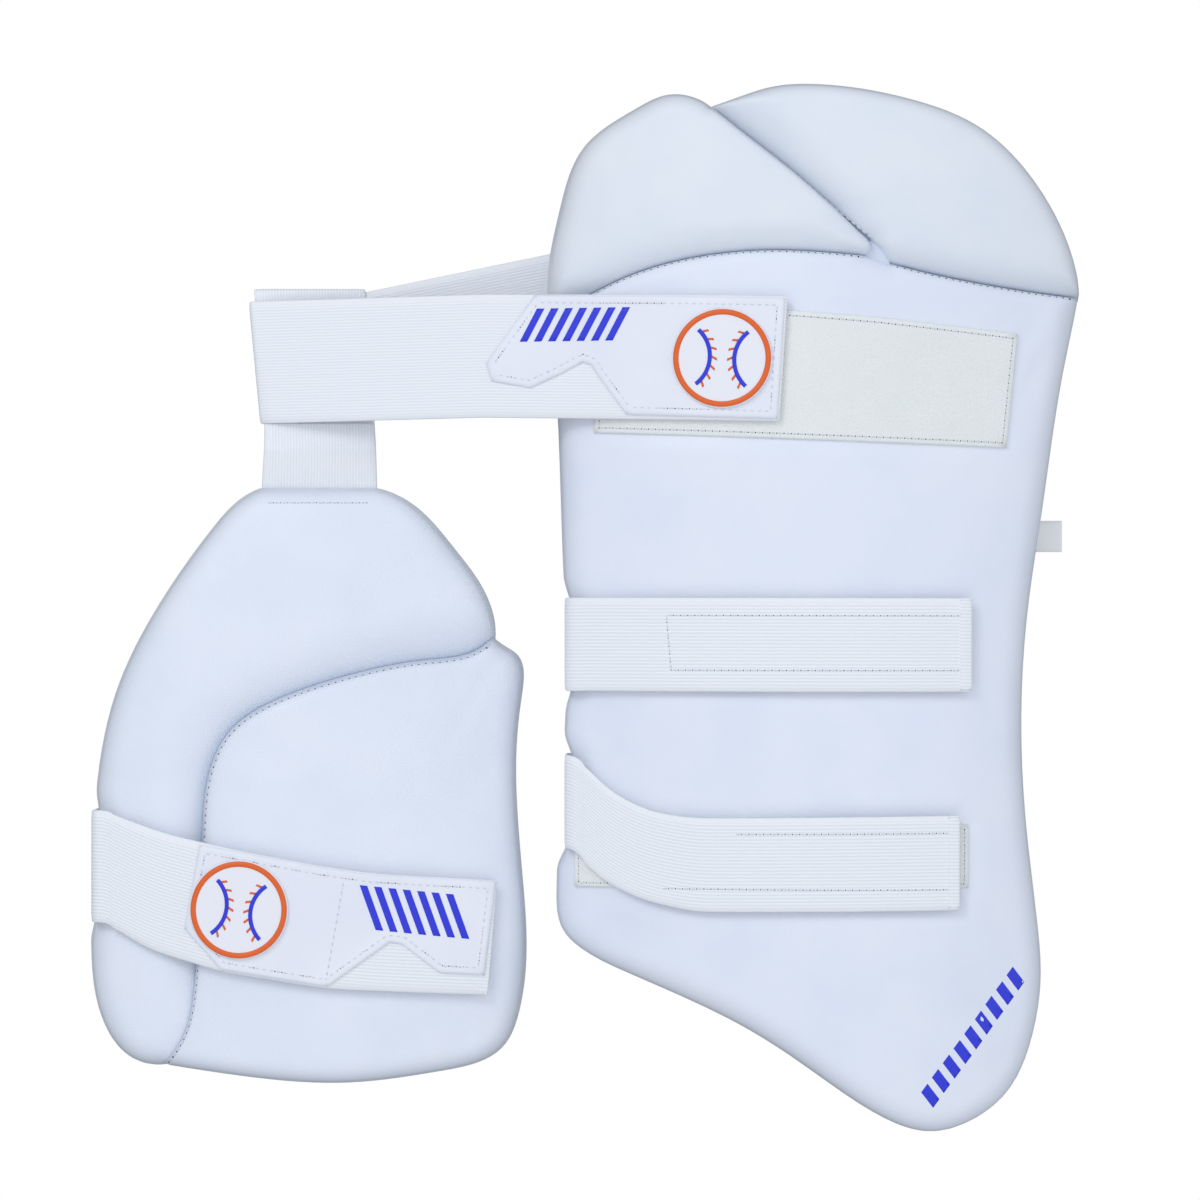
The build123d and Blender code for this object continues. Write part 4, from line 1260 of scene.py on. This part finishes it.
def beside_loop(loop, inset, keep):
    """An outline moved inwards, in the runs where keep(x, y) holds."""
    dense = spaced(loop, 1.0)
    moved = dense + normals(dense) * inset
    good = (distance(moved, loop) > inset * 0.9) & np.array([keep(*p) for p in dense])
    runs, run = [], []
    begin = int(np.argmin(good)) if not good.all() else 0
    for k in range(len(moved) + (1 if good.all() else 0)):
        i = (begin + k) % len(moved)
        if good[i]:
            run.append(moved[i])
        elif run:
            runs.append(run)
            run = []
    if run:
        runs.append(run)
    return [r for r in runs if len(r) > 6]


def top_of(surface, up):
    return lambda x, y: surface(up)(np.asarray(x, float), np.asarray(y, float))


hips = [HIP_LEFT, HIP_RIGHT]
hip_left_z, hip_right_z = looking_down(hip_left), looking_down(hip_right)
inner_main_z, bolster_z = looking_down(inner_main), looking_down(bolster)


def seam_runs(loop, others, inset):
    """Stitch lines beside the stretches of an outline that other cells share."""
    return beside_loop(
        loop, inset, lambda x, y: min(float(distance(np.array([[x, y]]), o)[0]) for o in others) < 0.5
    )


sewing("hip_seam", seam_runs(MAIN, hips, 0.8), "outer_pad", main_z, size=0.34)
sewing("hip_crease", seam_runs(HIP_RIGHT, [HIP_LEFT], 0.8), "outer_pad", hip_right_z, size=0.3)
sewing("inner_seam", seam_runs(INNER_MAIN, [BOLSTER], 0.8), "inner_pad", inner_main_z, size=0.34)

sewing("waist_panel", beside_loop(outline("waist_loop_panel"), 2.0, lambda x, y: True), "outer_pad",
       top_of(outer, MAIN_TOP + LOOP), size=0.26, slot="loop_pile")
sewing("upper_strip", beside_loop(outline("upper_loop_strip"), 1.6, lambda x, y: True), "outer_pad",
       top_of(outer, MAIN_TOP + LOOP), size=0.24, slot="loop_pile")
sewing("lower_strip", beside_loop(outline("lower_loop_strip"), 1.6, lambda x, y: True), "outer_pad",
       top_of(outer, MAIN_TOP + LOOP), size=0.24, slot="loop_pile")
sewing("upper_strap_rows",
       [[(34, -1.5), (157, -1.7)], [(36, -24.0), (157, -24.2)], [(34, -1.5), (36, -24.0)],
        [(155.5, 3.5), (155.5, -31.0)]],
       "upper_strap", top_of(outer, MAIN_TOP + OVERLAY_LOW), size=0.25, slot="elastic")
sewing("lower_strap_rows",
       [[(62, -91.5), (151, -91.2)], [(32, -114.0), (151, -114.5)], [(150.5, -86.5), (150.5, -120.5)]],
       "lower_strap", top_of(outer, MAIN_TOP + OVERLAY_LOW), size=0.25, slot="elastic")
TAB_OVERLAY, INNER_OVERLAY = outline("waist_tab_overlay"), outline("inner_strap_overlay")
sewing("tab_rows", beside_loop(TAB_OVERLAY, 3.0, lambda x, y: True),
       "waist_tab", top_of(over, MAIN_TOP + BADGE_LOW - 0.36), size=0.26, slot="tab_leather")
sewing("inner_tab_rows",
       beside_loop(INNER_OVERLAY, 3.0, lambda x, y: True) + [[(-99.2, -111.5), (-106.2, -150.9)]],
       "inner_strap", top_of(inner, INNER_TOP + BADGE_LOW - 0.36), size=0.26, slot="tab_leather")
sewing("hanger_rows", [[(-131.5, 45.0), (-90.0, 45.0)]], "inner_pad", bolster_z, size=0.25, holes=True)

# ------------------------------------------------------------------ camera, light and floor
scene = bpy.context.scene
camera = bpy.data.objects.new("camera", bpy.data.cameras.new("camera"))
scene.collection.objects.link(camera)
camera.data.lens = 150
camera.data.sensor_width = 36
camera.data.clip_end = 20
camera.location = (0.0067, 0.0048, 2.083 + 0.028)
scene.camera = camera
scene.view_settings.view_transform = "Standard"

world = bpy.data.worlds.new("studio")
scene.world = world
world.use_nodes = True
tree = world.node_tree
background = tree.nodes["Background"]
parts = add(tree, "ShaderNodeSeparateXYZ", {0: add(tree, "ShaderNodeTexCoord").outputs["Generated"]})
height = add(tree, "ShaderNodeMapRange", {0: parts.outputs[2], 1: -0.35, 2: 1.0, 3: 0.18, 4: 1.01})
background.inputs[0].default_value = (0.88, 0.925, 1.0, 1.0)
tree.links.new(height.outputs[0], background.inputs[1])


def lamp(name, place, aim, size, power, colour=(1, 1, 1)):
    data = bpy.data.lights.new(name, "AREA")
    data.size, data.energy, data.color = size, power, colour
    made = bpy.data.objects.new(name, data)
    made.location = place
    made.rotation_mode = "QUATERNION"
    made.rotation_quaternion = (Vector(aim) - Vector(place)).to_track_quat("-Z", "Y")
    scene.collection.objects.link(made)


lamp("fill", (1.5, 0.1, 0.8), (0, 0, 0), 1.2, 2.2, (0.95, 0.97, 1.0))
lamp("key", (-0.9, 1.1, 1.5), (0, 0, 0), 0.7, 8.0, (0.95, 0.97, 1.0))

bpy.ops.mesh.primitive_plane_add(size=6, location=(0, 0, -0.32))
floor = bpy.context.object
floor.name = "floor"
white, tree, shader = new_material("backdrop")
glow = add(tree, "ShaderNodeEmission", {"Color": (1, 1, 1, 1), "Strength": 1.0})
tree.links.new(glow.outputs[0], tree.nodes["Material Output"].inputs[0])
floor.data.materials.append(white)
floor.visible_diffuse = floor.visible_glossy = False
